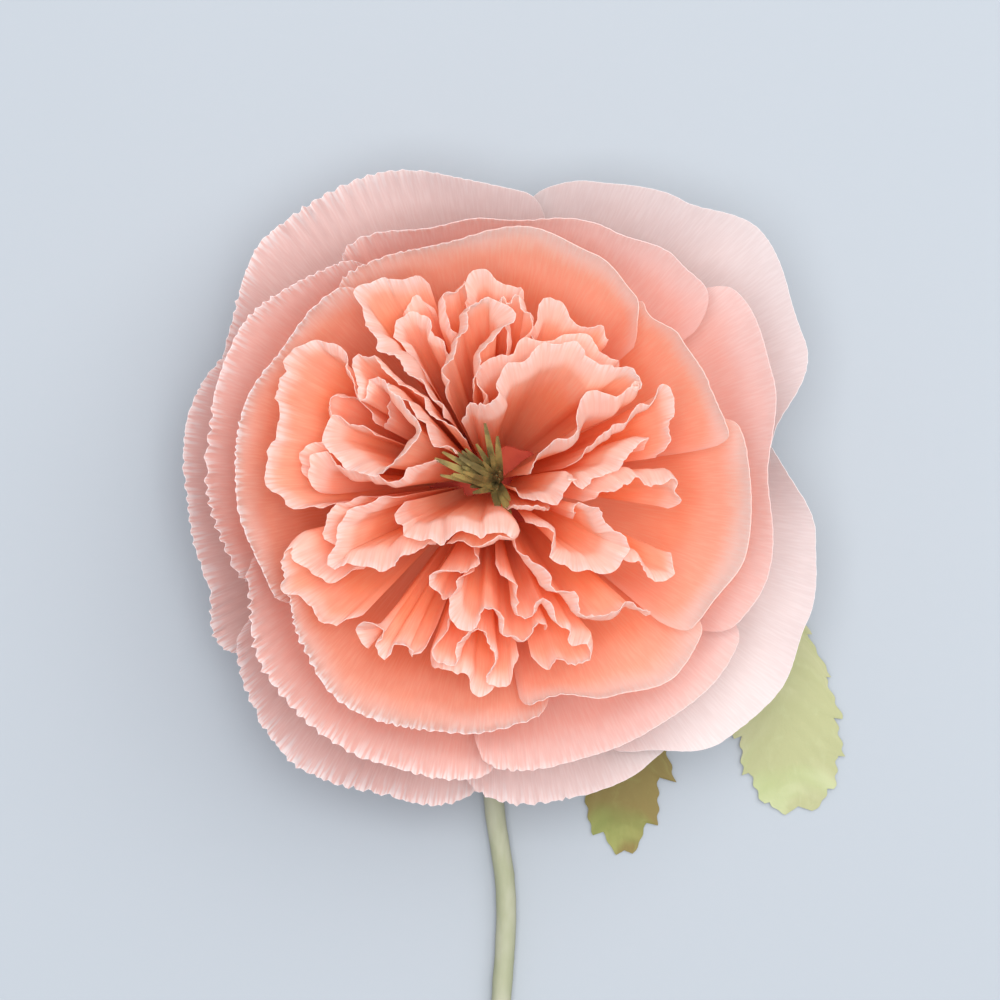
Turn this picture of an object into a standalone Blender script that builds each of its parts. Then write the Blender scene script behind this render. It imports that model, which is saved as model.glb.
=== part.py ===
"""A paper rose of crepe petals on a wrapped wire stem, lying on its back with the bloom facing up.

Blender 4.5. Metres, +Z up. The origin is under the middle of the rose's box, in the surface that it lies
on. All sizes below are in millimetres from the bloom's axis, and MM turns them into metres.
"""

import math

import bmesh
import bpy
import numpy as np

MM = 0.001

# The crepe paper, and the gaps that glued and touching pieces keep
PAPER = 0.3
SHEET_GAP = 0.35
SEAT_GAP = 0.3

# The wrapped wire stem, which turns off the bloom's axis and runs along the surface
WIRE_RADIUS = 1.0
WIRE_CLEARANCE = 0.25
WIRE_PROUD = 1.2
STEM_RADIUS = 2.25
STEM_BEND_RADIUS = 9.1
STEM_LENGTH_ON_SURFACE = 180.0
STEM_ROUTE = [(0, 0), (0, 35), (0.6, 59), (3.3, 80), (2.3, 102), (0, 130), (0, 158)]
STEM_SEGMENT = 12.0

# The tape that binds the leaf stalk to the stem
TAPE_WALL = 0.4
TAPE_LENGTH = 12.0
TAPE_START = 31.0

# The rolled paper hip, and the paper ball on the wire's end that every petal is glued to
HIP_RADIUS = 4.8
HIP_HEIGHT = 5.6
BALL_HEIGHT = 9.2
BALL_TOP_RADIUS = 14.2
BALL_BOTTOM_RADIUS = 12.0
WIRE_COVER = 2.0

# The green calyx: a star of sepals cut from one sheet
SEPALS = 5
SEPAL_REACH = 0.3
SEPAL_SHAPE = (0.06, 0.3, 0.7, 1.0, 0.7, 0.3)
CALYX_DROP = 0.9

# The rosette of folded petals inside the cup
ROSETTE_RADIUS = 46.5
ROSETTE_HEIGHT = 36.0
TRACED_RADIUS = 46.5
GATHER = 0.3
FLARE_AT_AXIS = 1.2
FLARE_AT_EDGE = 0.5
END_DROP = 0.22
LIP_DROP = 0.3
LIP_ROOM = 0.42
SETTLE_PASSES = 90
SETTLE_EASE = 0.6
KIN = 4

# The three rows of broad petals. Each has its seat as a share of the ball's height, its rim's
# distance outside the next row in, and its run as shares of the way out and of the height
CUP_SEAT = 0.8
CUP_MARGIN = 5.1
CUP_RUN = [(0.2, -0.02), (0.5, 0.18), (0.77, 0.5), (0.94, 0.8), (1.0, 0.97)]
MIDDLE_SEAT = 0.48
MIDDLE_STEP = 6.8
MIDDLE_RUN = [(0.225, -0.19), (0.54, -0.08), (0.79, 0.2), (0.93, 0.48), (1.0, 0.65)]
GUARD_SEAT = 0.16
GUARD_STEP = 9.2
GUARD_RUN = [(0.2, 0.34), (0.44, 0.005), (0.66, 0.17), (0.85, 0.62), (1.0, 1.05)]
ROW_LAP = 0.17
CORNER_DROP = 0.2
CORNER_POWER = 4
BROAD_PETAL_STEP = 9.5
BROAD_PETAL_ROWS = (0.0, 0.2, 0.45, 0.75, 1.0)

# The fringe of olive paper in the middle. Each strip leans out in steps, given as shares of its spread
# and of its rise
TUFT_RADIUS = 1.4
TUFT_HEIGHT = 17.0
TUFT_STRIPS = 12
TUFT_STRIP_RISE = 13.0
TUFT_STRIP_SPREAD = 3.8
TUFT_STRIP_STEPS = ((0.1, 0.45), (0.3, 0.35), (0.6, 0.2))

# The leaf spray: a wrapped stalk with two toothed leaves, lying on the surface
STALK_RADIUS = 0.9
STALK_ROUTE = [(11, -23.5), (24, -26), (42, -27.5), (61, -22)]
LEAF_THICKNESS = 0.35
LEAF_TEETH = 5
LEAF_ROWS = (-1.0, -0.5, 0.0, 0.5, 1.0)
LEAVES = {
    "leaf_near": ((25.5, -27.5), (28.8, -79.5), 23.0),
    "leaf_far": ((60.0, -23.0), (66.3, -70.0), 22.5),
}
PETAL_CLEARANCE = 1.2

# How finely the sheets are cut up
SEGMENT = 4.6
BEND_DETAIL = 1.6
SHEET_ROWS = (0.0, 0.34, 0.72, 1.0)

# Heights that follow from the sizes above, from the surface up
STEM_Z = STEM_RADIUS + SEAT_GAP + TAPE_WALL
BEND_TOP_Z = STEM_Z + STEM_BEND_RADIUS
HIP_Z = BEND_TOP_Z + SEAT_GAP
CALYX_Z = HIP_Z + HIP_HEIGHT + SEAT_GAP + PAPER / 2
BALL_Z = CALYX_Z + PAPER / 2 + SEAT_GAP
BALL_TOP_Z = BALL_Z + BALL_HEIGHT
BORE_RADIUS = WIRE_RADIUS + WIRE_CLEARANCE

# Each folded petal: how far its rim stands above the rosette's height, how far its lip rolls to the
# left of the rim's run (minus is to the right), and the rim's run as seen from above.
FOLDED_PETALS = {
    "left_petal_1": (0, -2.4, [
        (-27.6, 13.6), (-28.6, 17.5), (-29.6, 21.5), (-31.4, 25.4), (-35, 28.4), (-39, 25.5),
        (-41.5, 20), (-42.6, 16), (-42.4, 13), (-44, 9), (-44.6, 4), (-45.8, 0), (-43.5, -3.3),
        (-40.5, -5.4), (-35.6, -6.2)]),
    "left_petal_2": (1, -1.2, [
        (-25.2, 12.2), (-22.2, 14.6), (-21.6, 18), (-23.6, 21), (-25, 18.6), (-26, 16.6),
        (-26.8, 19.4), (-27.8, 23), (-26.8, 25.4), (-21, 22.8), (-16, 18.6), (-11, 13), (-6.6, 9.4)]),
    "left_petal_3": (-1, 1.4, [
        (-31.6, 19.6), (-34, 18.4), (-35.6, 16), (-35.2, 13), (-33.8, 11)]),
    "left_petal_4": (2, -3.0, [
        (-25, 10.2), (-28.6, 11.6), (-31.2, 11.2), (-31.6, 9.4), (-29.6, 6.6), (-27, 4.2), (-23, 2),
        (-18.6, 3.2), (-15.8, 6.6), (-14.8, 10.6), (-16.4, 14), (-19.2, 16.8), (-19.2, 19),
        (-16.6, 17.4), (-13, 13.4), (-11, 9.4), (-8, 6.4)]),
    "left_petal_5": (0, 1.6, [
        (-43.2, -0.5), (-41.4, 3), (-39.4, 6), (-36.6, 8.4), (-34.4, 8.6), (-33.2, 6.4), (-31, 4.6)]),
    "left_petal_6": (0, 2.0, [
        (-39.4, -3), (-37.6, -0.6), (-34.6, 1.8), (-31, 2.2), (-27, 0.8), (-22, -0.2), (-16.4, 1.6),
        (-12, 4.8)]),
    "top_petal_1": (0, 2.6, [
        (-9.6, 15), (-14, 19.4), (-18.4, 24.6), (-22.6, 29.6), (-24.6, 33.6), (-24.4, 38),
        (-21.4, 40.6), (-17, 41.6), (-13.4, 44.2)]),
    "top_petal_2": (0, 1.6, [
        (-15.4, 24.4), (-18.8, 29.6), (-18.8, 32.8), (-16.2, 34.4), (-13.8, 33), (-12.2, 30.4),
        (-10, 30.4), (-9, 27.4)]),
    "top_petal_3": (0, 1.4, [
        (-21.6, 37), (-19, 36.2), (-15.6, 37.8), (-12.6, 40.4)]),
    "top_petal_4": (1, 2.4, [
        (-11, 18.6), (-10, 22), (-8, 25.4), (-6.4, 29.8), (-3.8, 33), (-1.8, 36.2), (0.8, 35),
        (1.6, 32), (0.2, 28.4), (-3, 24.6), (-5, 21)]),
    "top_petal_5": (-1, 2.0, [
        (-7.8, 31.6), (-10.2, 37.2), (-8.8, 41), (-6, 42.8), (-5, 45.6)]),
    "top_petal_6": (-1, 2.0, [
        (-4.2, 37), (-3.4, 40.6), (-2, 43), (1.5, 43), (5.8, 42), (8.4, 39.4)]),
    "top_petal_7": (0, 1.4, [
        (2.8, 28), (4.4, 31), (3.8, 34.4), (2.2, 37.8), (5.6, 38), (7, 35.4), (8.8, 35.4), (8.8, 32.6),
        (7, 30.6)]),
    "upper_right_petal_1": (-1, 2.4, [
        (-1.2, 18.4), (-1.8, 22), (0.6, 25), (5.4, 26.6), (10, 28), (16, 28.6), (22, 27), (27, 24.8),
        (31, 24.8)]),
    "upper_right_petal_2": (-1, 2.0, [
        (10.9, 31.4), (11, 34.2), (12.8, 36.4), (15.6, 36), (20, 33.2), (24.6, 31.2), (28, 34.2)]),
    "upper_right_petal_3": (1, 2.8, [
        (-6.4, 13.4), (-4.4, 15.6), (-2.6, 14.2), (0.6, 15.6), (2.6, 19.4), (6, 21.6), (10.4, 24.4),
        (15, 24), (21, 21.8), (26.5, 20.8), (30, 18.8), (29.8, 16.8), (26, 15.8), (21, 12.6),
        (16.6, 8.4), (12, 5.2), (8.6, 2)]),
    "upper_right_petal_4": (-1, 1.8, [
        (18.6, 3.2), (22, 6.6), (26, 10.2), (31, 13.4), (33.6, 17.6), (36.4, 18.8), (37.4, 15),
        (39, 10), (39.8, 5.4)]),
    "right_petal_1": (1, -2.0, [
        (6.6, -1.8), (8.8, -4), (12.4, -3.4), (14.6, -0.8), (15.8, 1.8), (18, -0.4), (20.4, 0.6),
        (23.8, 3.8), (28, 8), (33, 9.4), (34.6, 6.6)]),
    "right_petal_2": (1, 3.0, [
        (21.4, -5), (22.4, -2.4), (26, 0.8), (31, 2), (36, 0.4), (39.6, -2.4), (41.6, -6.4)]),
    "right_petal_3": (2, 2.0, [
        (18.4, -9.4), (17, -7.2), (18.8, -5.2), (21.4, -7.6), (23.8, -10.2), (23.6, -13.4),
        (21.6, -16.2), (18, -17.2), (14.6, -15.6), (12.8, -12.4), (11.4, -9.6), (8.4, -8.6)]),
    "right_petal_4": (0, 1.0, [
        (3.6, -6.4), (6, -5.6), (9.4, -6), (12.6, -7), (14.4, -6)]),
    "right_petal_5": (-1, -1.6, [
        (24.8, -15), (31, -18), (37, -20.6), (40.4, -20.6), (41.6, -17.4), (44.2, -17.2)]),
    "right_petal_6": (1, 2.6, [
        (5.6, -13.4), (6.4, -16.8), (9.8, -18.8), (12.8, -22), (16, -25.6), (20, -28.4), (26, -28.6),
        (31, -27.2), (34.4, -30.6)]),
    "bottom_petal_1": (2, -3.0, [
        (-19.4, -5), (-18.6, -8.4), (-16.4, -10.4), (-10, -10), (-3, -9.2), (3, -8.8), (5.4, -10.8),
        (3.4, -12.4), (-1, -12.8), (-6, -13.2), (-9, -15.4)]),
    "bottom_petal_2": (0, 1.8, [
        (-4, -15.6), (-2.4, -17.6), (-5, -19.4), (-9, -19.4), (-11.6, -22.2), (-10.6, -26), (-8.6, -28)]),
    "bottom_petal_3": (1, -2.4, [
        (-4, -21.6), (-6.8, -23.6), (-6.4, -27), (-3.4, -28.2), (-1.2, -25.8), (1.6, -27.8),
        (4.6, -31.4), (7, -33.4), (9.6, -31), (12, -31), (13.2, -34)]),
    "bottom_petal_4": (0, -2.0, [
        (1.8, -20), (4.6, -22.4), (5.2, -26.4), (8, -28.2), (11, -26), (13.4, -28), (16.6, -30.4),
        (19.4, -34), (17.6, -37.4), (13.6, -40), (9.6, -41.4)]),
    "bottom_petal_5": (-1, -2.0, [
        (-8, -31), (-10.8, -32.8), (-11.8, -36), (-10.4, -38.2), (-7.2, -36.6), (-5, -34),
        (-3.6, -31.4), (-0.6, -32.4), (0.4, -35.4), (-0.8, -39), (0.6, -42.6), (4.2, -43.4),
        (6.6, -41.6)]),
    "bottom_petal_6": (-1, -1.6, [
        (-15, -42.4), (-10, -41.8), (-5.6, -41.8), (-4, -44.4), (-0.6, -46), (3.6, -46)]),
    "lower_left_petal_1": (-1, -2.0, [
        (-31, -33), (-34, -31), (-37.6, -28.4), (-40, -23.6), (-41.8, -18.4), (-42.4, -14.4),
        (-40, -13.4), (-38, -16.6), (-34.6, -19), (-30, -20)]),
    "lower_left_petal_2": (1, -1.6, [
        (-29, -4.4), (-33, -6), (-34.6, -9), (-33.8, -12.6), (-33.4, -16)]),
    "lower_left_petal_3": (1, -2.2, [
        (-21, -4), (-25.6, -5.6), (-28, -8.2), (-28.6, -12), (-29.6, -16), (-24, -14.8), (-18, -13.4),
        (-12.4, -13)]),
    "lower_left_petal_4": (-1, 2.4, [
        (-28.4, -36.6), (-26.8, -35), (-25, -33), (-22.6, -32.2), (-21.4, -35.6), (-19.6, -33.6),
        (-18, -35.6), (-16.6, -38), (-13.6, -37)]),
}

# The broad petals, each from one angle to another about the axis, in degrees from +X
CUP_PETALS = {
    "cup_petal_1": (123, 213),
    "cup_petal_2": (204, 286),
    "cup_petal_3": (277, 328),
    "cup_petal_4": (320, 376),
    "cup_petal_5": (368, 411),
    "cup_petal_6": (403, 491),
}
MIDDLE_PETALS = {
    "middle_petal_1": (119, 205),
    "middle_petal_2": (197, 274),
    "middle_petal_3": (266, 332),
    "middle_petal_4": (324, 404),
    "middle_petal_5": (396, 487),
}
GUARD_PETALS = {
    "guard_petal_1": (76, 163),
    "guard_petal_2": (151, 218),
    "guard_petal_3": (208, 272),
    "guard_petal_4": (263, 308),
    "guard_petal_5": (290, 373),
    "guard_petal_6": (361, 446),
}

# How far each row reaches at an angle, as a share of its profile's reach
CUP_REACH = [
    (6, 0.99), (24, 0.94), (37, 0.91), (46, 0.86), (52, 0.93), (65, 0.98), (79, 1.0), (99, 0.94),
    (118, 0.97), (143, 0.97), (163, 1.01), (186, 0.99), (206, 0.935), (220, 0.99), (238, 1.03),
    (264, 0.98), (288, 0.9), (300, 0.955), (314, 1.03), (331, 1.01), (343, 1.05),
]
MIDDLE_REACH = [
    (0, 0.965), (20, 1.03), (39, 1.1), (50, 1.05), (64, 0.985), (90, 0.895), (103, 0.87), (123, 0.95),
    (148, 1.03), (180, 0.98), (197, 0.945), (222, 1.04), (250, 1.05), (290, 1.04), (335, 1.04),
]
GUARD_REACH = [
    (9, 0.94), (24, 1.1), (43, 1.175), (56, 1.08), (71, 1.01), (86, 0.985), (104, 1.045), (131, 1.05),
    (151, 0.965), (187, 0.945), (200, 0.945), (212, 1.035), (235, 1.085), (252, 1.045), (270, 1.02),
    (299, 1.025), (312, 1.12), (324, 1.135), (336, 1.095), (350, 1.02),
]

CREAM = (0.93, 0.55, 0.42, 1.0)
BLUSH = (0.93, 0.66, 0.60, 1.0)
CORAL = (0.90, 0.30, 0.18, 1.0)
STEM_GREEN = (0.52, 0.56, 0.42, 1.0)
LEAF_GREEN = (0.50, 0.55, 0.22, 1.0)
OLIVE = (0.36, 0.25, 0.07, 1.0)
STEEL = (0.55, 0.55, 0.56, 1.0)


def clear_scene():
    """Removes what the file opened with."""
    for found in list(bpy.data.objects):
        bpy.data.objects.remove(found)


def finish(name, colour, roughness, metallic=0.0):
    """A plain coloured material."""
    made = bpy.data.materials.new(name)
    made.use_nodes = True
    shader = made.node_tree.nodes["Principled BSDF"]
    shader.inputs["Base Color"].default_value = colour
    shader.inputs["Roughness"].default_value = roughness
    shader.inputs["Metallic"].default_value = metallic
    return made


def add_mesh(name, mesh_points, faces, material):
    """An object from points in millimetres and faces."""
    mesh = bpy.data.meshes.new(name)
    mesh.from_pydata([tuple(float(c) * MM for c in p) for p in mesh_points], [], faces)
    mesh.materials.append(material)
    made = bpy.data.objects.new(name, mesh)
    bpy.context.scene.collection.objects.link(made)
    return made


def smooth_line(points, per_span=12):
    """A smooth curve through the points, as many short steps."""
    p = np.array(points, float)
    ends = np.vstack([2 * p[0] - p[1], p, 2 * p[-1] - p[-2]])
    t = np.linspace(0, 1, per_span, endpoint=False)[:, None]
    spans = []
    for a, b, c, d in zip(ends, ends[1:], ends[2:], ends[3:]):
        spans.append(
            0.5 * (2 * b + (c - a) * t + (2 * a - 5 * b + 4 * c - d) * t**2 + (3 * b - a - 3 * c + d) * t**3)
        )
    return np.vstack([*spans, p[-1:]])


def run_lengths(line):
    """The length along a line at each of its points."""
    return np.r_[0, np.cumsum(np.linalg.norm(np.diff(line, axis=0), axis=1))]


def at_lengths(line, lengths):
    """The points of a line at these lengths along it."""
    along = run_lengths(line)
    return np.column_stack([np.interp(lengths, along, line[:, k]) for k in range(line.shape[1])])


def even(line, step):
    """The line cut into even steps of about this length."""
    total = run_lengths(line)[-1]
    return at_lengths(line, np.linspace(0, total, max(5, round(total / step) + 1)))


def by_bend(line, segment):
    """The line cut into steps that are shorter where it bends, so that a curl keeps its shape."""
    along = run_lengths(line)
    run = np.gradient(line, along, axis=0)
    turn = np.linalg.norm(np.gradient(run, along, axis=0), axis=1)
    weight = np.r_[0, np.cumsum(np.diff(along) * (1 + BEND_DETAIL * np.minimum(turn[1:], 0.8)))]
    count = max(4, round(weight[-1] / segment))
    return at_lengths(line, np.interp(np.linspace(0, weight[-1], count + 1), weight, along))


def gathered(radius, rise):
    """The share of its full reach that a folded petal has at this rise, from 0 at the ball to 1 at the rim.

    Petals near the axis stand up and then flare, and those near the cup spread low and then stand.
    """
    share = np.clip(radius / ROSETTE_RADIUS, 0, 1.2)
    bend = FLARE_AT_AXIS + (FLARE_AT_EDGE - FLARE_AT_AXIS) * np.minimum(share, 1)
    return GATHER + (1 - GATHER) * np.maximum(rise, 0) ** bend


def sheet_pitch():
    """The least distance between two folded sheets at the rim, so that they clear each other at the ball."""
    return (PAPER + SHEET_GAP) / GATHER


def settled(rims):
    """Moves the rims apart until no two sheets are nearer than the pitch, as paper pushes paper aside."""
    pitch = sheet_pitch()
    step = pitch / 2
    well = (TUFT_RADIUS + SEAT_GAP + PAPER) / GATHER
    scale = ROSETTE_RADIUS / TRACED_RADIUS
    lines = [even(scale * smooth_line(points), step) for points in rims]
    owner = np.concatenate([np.full(len(line), k) for k, line in enumerate(lines)])
    order = np.concatenate([np.arange(len(line)) for line in lines])
    points = np.vstack(lines)
    same = owner[:, None] == owner[None, :]
    close_kin = same & (np.abs(order[:, None] - order[None, :]) <= KIN)
    joined_next = np.r_[owner[1:] == owner[:-1], False]
    for _ in range(SETTLE_PASSES):
        apart = points[:, None, :] - points[None, :, :]
        distance = np.linalg.norm(apart, axis=2)
        short = np.where(close_kin, 0, np.maximum(pitch - distance, 0))
        push = (apart / np.maximum(distance, 1e-6)[..., None] * short[..., None]).sum(axis=1)
        hits = np.maximum((short > 0).sum(axis=1), 1)[:, None]
        move = 0.5 * push / hits
        eased = move.copy()
        eased[:-1][joined_next[:-1]] += 0.5 * move[1:][joined_next[:-1]]
        eased[1:][joined_next[:-1]] += 0.5 * move[:-1][joined_next[:-1]]
        points = points + SETTLE_EASE * eased
        radius = np.linalg.norm(points, axis=1)
        points *= (np.clip(radius, well, ROSETTE_RADIUS) / np.maximum(radius, 1e-6))[:, None]
    return [points[owner == k] for k in range(len(lines))]


def left_of(line):
    """The unit direction to the left of a plan line's run, at each point."""
    run = np.gradient(line, axis=0)
    run /= np.maximum(np.linalg.norm(run, axis=1), 1e-9)[:, None]
    return np.column_stack([-run[:, 1], run[:, 0]])


def side_room(line, side, others):
    """The free distance from each point of a line to the other lines on one side of it."""
    apart = others[None, :, :] - line[:, None, :]
    ahead = (apart * side[:, None, :]).sum(axis=2)
    distance = np.linalg.norm(apart, axis=2)
    return np.where(ahead > 0.3 * distance, distance, np.inf).min(axis=1)


def sheet(name, grid, thickness, material, ring=False):
    """A sheet of even thickness through a grid of points, [across][up], or a ring that closes on itself."""
    across, up = grid.shape[:2]
    faces = []
    for i in range(across if ring else across - 1):
        near = i * up
        far = (i + 1) % across * up
        for j in range(up - 1):
            faces.append((near + j, far + j, far + j + 1, near + j + 1))
    made = add_mesh(name, grid.reshape(-1, 3), faces, material)
    thick = made.modifiers.new("paper", "SOLIDIFY")
    thick.thickness = thickness * MM
    thick.offset = 0
    made.data.shade_smooth()
    return made


def folded_petal(name, plan, others, rise, lip, material):
    """One folded petal of the rosette: a sheet that gathers from its rim down to the ball's top."""
    line = by_bend(smooth_line(plan, 4), SEGMENT)
    side = left_of(line) * math.copysign(1, lip)
    reach = np.minimum(abs(lip), LIP_ROOM * np.maximum(side_room(line, side, others) - PAPER, 0))
    ease = np.minimum(1, 4 * np.minimum(np.linspace(0, 1, len(line)), np.linspace(1, 0, len(line))))
    reach = reach * ease
    across = np.linspace(-1, 1, len(line))
    top = (1 + rise / ROSETTE_HEIGHT) * (1 - END_DROP * across**4)
    full = gathered(np.linalg.norm(line, axis=1), 1 + rise / ROSETTE_HEIGHT)
    seat = BALL_TOP_Z + SEAT_GAP + PAPER / 2
    grid = np.zeros((len(line), len(SHEET_ROWS), 3))
    for j, share in enumerate(SHEET_ROWS):
        height = top * share
        curl = np.clip((share - 0.6) / 0.4, 0, 1) ** 2
        plan_point = line + side * (reach * curl)[:, None]
        scale = gathered(np.linalg.norm(line, axis=1), height) / full
        grid[:, j, :2] = plan_point * scale[:, None]
        grid[:, j, 2] = seat + ROSETTE_HEIGHT * height - LIP_DROP * reach * curl
    return sheet(name, grid, PAPER, material)


def rosette(material):
    """All the folded petals, settled so that they clear each other."""
    names = list(FOLDED_PETALS)
    lines = settled([FOLDED_PETALS[name][2] for name in names])
    for k, name in enumerate(names):
        rise, lip, _ = FOLDED_PETALS[name]
        others = np.vstack([line for n, line in enumerate(lines) if n != k])
        folded_petal(name, lines[k], others, rise, lip, material)


def row_reach(table, angle):
    """A row's share of its reach at an angle, smoothly read from its table."""
    knots = [a for a, _ in table]
    shares = [s for _, s in table]
    knots = np.array([knots[-1] - 360, *knots, knots[0] + 360])
    shares = np.array([shares[-1], *shares, shares[0]])
    angle = np.mod(angle, 360)
    n = np.clip(np.searchsorted(knots, angle, side="right") - 1, 0, len(knots) - 2)
    t = (angle - knots[n]) / (knots[n + 1] - knots[n])
    t = t * t * (3 - 2 * t)
    return shares[n] * (1 - t) + shares[n + 1] * t


def plateau(angle, start, end, ease):
    """1 between two angles, falling to 0 over the ease on both sides."""
    centre = (start + end) / 2
    away = np.abs(np.mod(angle - centre + 180, 360) - 180) - (end - start) / 2
    t = np.clip(1 - away / ease, 0, 1)
    return t * t * (3 - 2 * t)


def lift(angle):
    """How far the guard petals rise off the surface, where the stem and the leaf spray lie under them."""
    over_stem = 2 * STEM_Z + PETAL_CLEARANCE
    over_leaves = 2 * STALK_RADIUS + SEAT_GAP + LEAF_THICKNESS + 2 * PETAL_CLEARANCE
    return np.maximum(over_stem * plateau(angle, 262, 281, 22), over_leaves * plateau(angle, 280, 345, 26))


def ball_side(share):
    """The ball's radius at a share of its height."""
    return BALL_BOTTOM_RADIUS + (BALL_TOP_RADIUS - BALL_BOTTOM_RADIUS) * share


def row_profile(seat, rim_radius, run, base_z, height):
    """A row's middle line as (radius, height), from its seat on the ball to its rim."""
    seat_radius = ball_side(seat) + SEAT_GAP + PAPER
    points = [(seat_radius, BALL_Z + BALL_HEIGHT * seat)]
    points += [(seat_radius + (rim_radius - seat_radius) * out, base_z + height * up) for out, up in run]
    return smooth_line(points, 16)


def row_profiles():
    """The middle lines of the cup, the middle row and the guard row."""
    cup_rim = ROSETTE_RADIUS + CUP_MARGIN
    middle_rim = cup_rim + MIDDLE_STEP
    guard_rim = middle_rim + GUARD_STEP
    return [
        row_profile(CUP_SEAT, cup_rim, CUP_RUN, BALL_TOP_Z, ROSETTE_HEIGHT),
        row_profile(MIDDLE_SEAT, middle_rim, MIDDLE_RUN, BALL_TOP_Z, ROSETTE_HEIGHT),
        row_profile(GUARD_SEAT, guard_rim, GUARD_RUN, PAPER / 2, BALL_TOP_Z),
    ]


def row_point(row, angle, share, profiles):
    """Points of the broad petals' rows, for a list of shares from 0 at the ball to 1 at the rim.

    Row 1 is the cup, 2 the middle row and 3 with the lap the outside of the guard row. Rows between
    and before them lie between and before those.
    """
    knots = (1, 2, 3 + ROW_LAP)
    lower = 0 if row < 2 else 1
    part = (row - knots[lower]) / (knots[lower + 1] - knots[lower])
    places = [
        np.column_stack([np.interp(share, np.linspace(0, 1, len(p)), p[:, k]) for k in (0, 1)])
        for p in profiles[lower:lower + 2]
    ]
    place = places[0] * (1 - part) + places[1] * part
    reaches = [row_reach(table, angle) for table in (CUP_REACH, MIDDLE_REACH, GUARD_REACH)[lower:lower + 2]]
    reach = reaches[0] * (1 - part) + reaches[1] * part
    radius = place[:, 0] * (1 + (reach - 1) * share**1.5)
    raised = place[:, 1] + lift(angle) * min(max(row - 2, 0), 1) * np.sin(np.pi * share) ** 1.5
    turn = math.radians(angle)
    return np.column_stack([radius * math.cos(turn), radius * math.sin(turn), raised])


def broad_petal(name, row, start, end, profiles, material):
    """One broad cupped petal: its first edge lies inside its neighbour and its last edge outside."""
    count = max(7, round((end - start) / BROAD_PETAL_STEP))
    rows = np.array(BROAD_PETAL_ROWS)
    grid = np.zeros((count + 1, len(rows), 3))
    for i, part in enumerate(np.linspace(0, 1, count + 1)):
        across = 2 * part - 1
        top = 1 - CORNER_DROP * abs(across) ** CORNER_POWER
        angle = start + (end - start) * part
        grid[i] = row_point(row + ROW_LAP * across, angle, rows * top, profiles)
    return sheet(name, grid, PAPER, material)


def broad_rows(cup_material, outer_material):
    """The cup, middle and guard rows."""
    profiles = row_profiles()
    for name, (start, end) in CUP_PETALS.items():
        broad_petal(name, 1, start, end, profiles, cup_material)
    for name, (start, end) in MIDDLE_PETALS.items():
        broad_petal(name, 2, start, end, profiles, outer_material)
    for name, (start, end) in GUARD_PETALS.items():
        broad_petal(name, 3, start, end, profiles, outer_material)


def turned(name, outline, sides, material, closed=False):
    """A solid turned about the axis from an outline of (radius, height), a ring if the outline is closed."""
    bm = bmesh.new()
    corners = [bm.verts.new((r * MM, 0, z * MM)) for r, z in outline]
    pairs = list(zip(corners, corners[1:]))
    if closed:
        pairs.append((corners[-1], corners[0]))
    edges = [bm.edges.new(pair) for pair in pairs]
    bmesh.ops.spin(bm, geom=corners + edges, axis=(0, 0, 1), cent=(0, 0, 0), angle=2 * math.pi, steps=sides)
    bmesh.ops.remove_doubles(bm, verts=bm.verts, dist=0.00001)
    bmesh.ops.dissolve_degenerate(bm, edges=bm.edges, dist=0.000001)
    bmesh.ops.recalc_face_normals(bm, faces=bm.faces)
    return add_bmesh(name, bm, material)


def add_bmesh(name, bm, material):
    """An object from a bmesh, with smooth sides and sharp edges."""
    mesh = bpy.data.meshes.new(name)
    bm.to_mesh(mesh)
    bm.free()
    mesh.materials.append(material)
    mesh.shade_smooth()
    mesh.set_sharp_from_angle(angle=math.radians(40))
    made = bpy.data.objects.new(name, mesh)
    bpy.context.scene.collection.objects.link(made)
    return made


def tube(name, line, radius, material, wall=None, detail=2):
    """A round bar along a line, or an open tube if it has a wall."""
    curve = bpy.data.curves.new(name, "CURVE")
    curve.dimensions = "3D"
    spline = curve.splines.new("POLY")
    spline.points.add(len(line) - 1)
    for point, place in zip(spline.points, line):
        point.co = (*(float(c) * MM for c in place), 1)
    curve.bevel_depth = radius * MM
    curve.bevel_resolution = detail
    curve.use_fill_caps = wall is None
    curve.materials.append(material)
    made = bpy.data.objects.new(name, curve)
    bpy.context.scene.collection.objects.link(made)
    if wall is not None:
        thick = made.modifiers.new("wall", "SOLIDIFY")
        thick.thickness = wall * MM
        thick.offset = -1
    return made


def stem_line(top_z, extra):
    """The stem's middle line: down the axis from top_z, round the bend, then along the surface."""
    line = [(0, 0, top_z)] if top_z > BEND_TOP_Z else []
    for turn in np.linspace(0, math.pi / 2, 6):
        drop = STEM_BEND_RADIUS * math.sin(turn)
        line.append((0, -STEM_BEND_RADIUS * (1 - math.cos(turn)), BEND_TOP_Z - drop))
    route = [*STEM_ROUTE, (0, STEM_LENGTH_ON_SURFACE)]
    run = even(smooth_line(route), STEM_SEGMENT)[1:]
    run[-1, 1] += extra
    settle = np.clip((run[:, 1] - TAPE_START - TAPE_LENGTH) / 60, 0, 1)
    height = STEM_Z - (STEM_Z - STEM_RADIUS) * settle * settle * (3 - 2 * settle)
    line += [(x, -STEM_BEND_RADIUS - y, z) for (x, y), z in zip(run, height)]
    return np.array(line)


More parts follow.
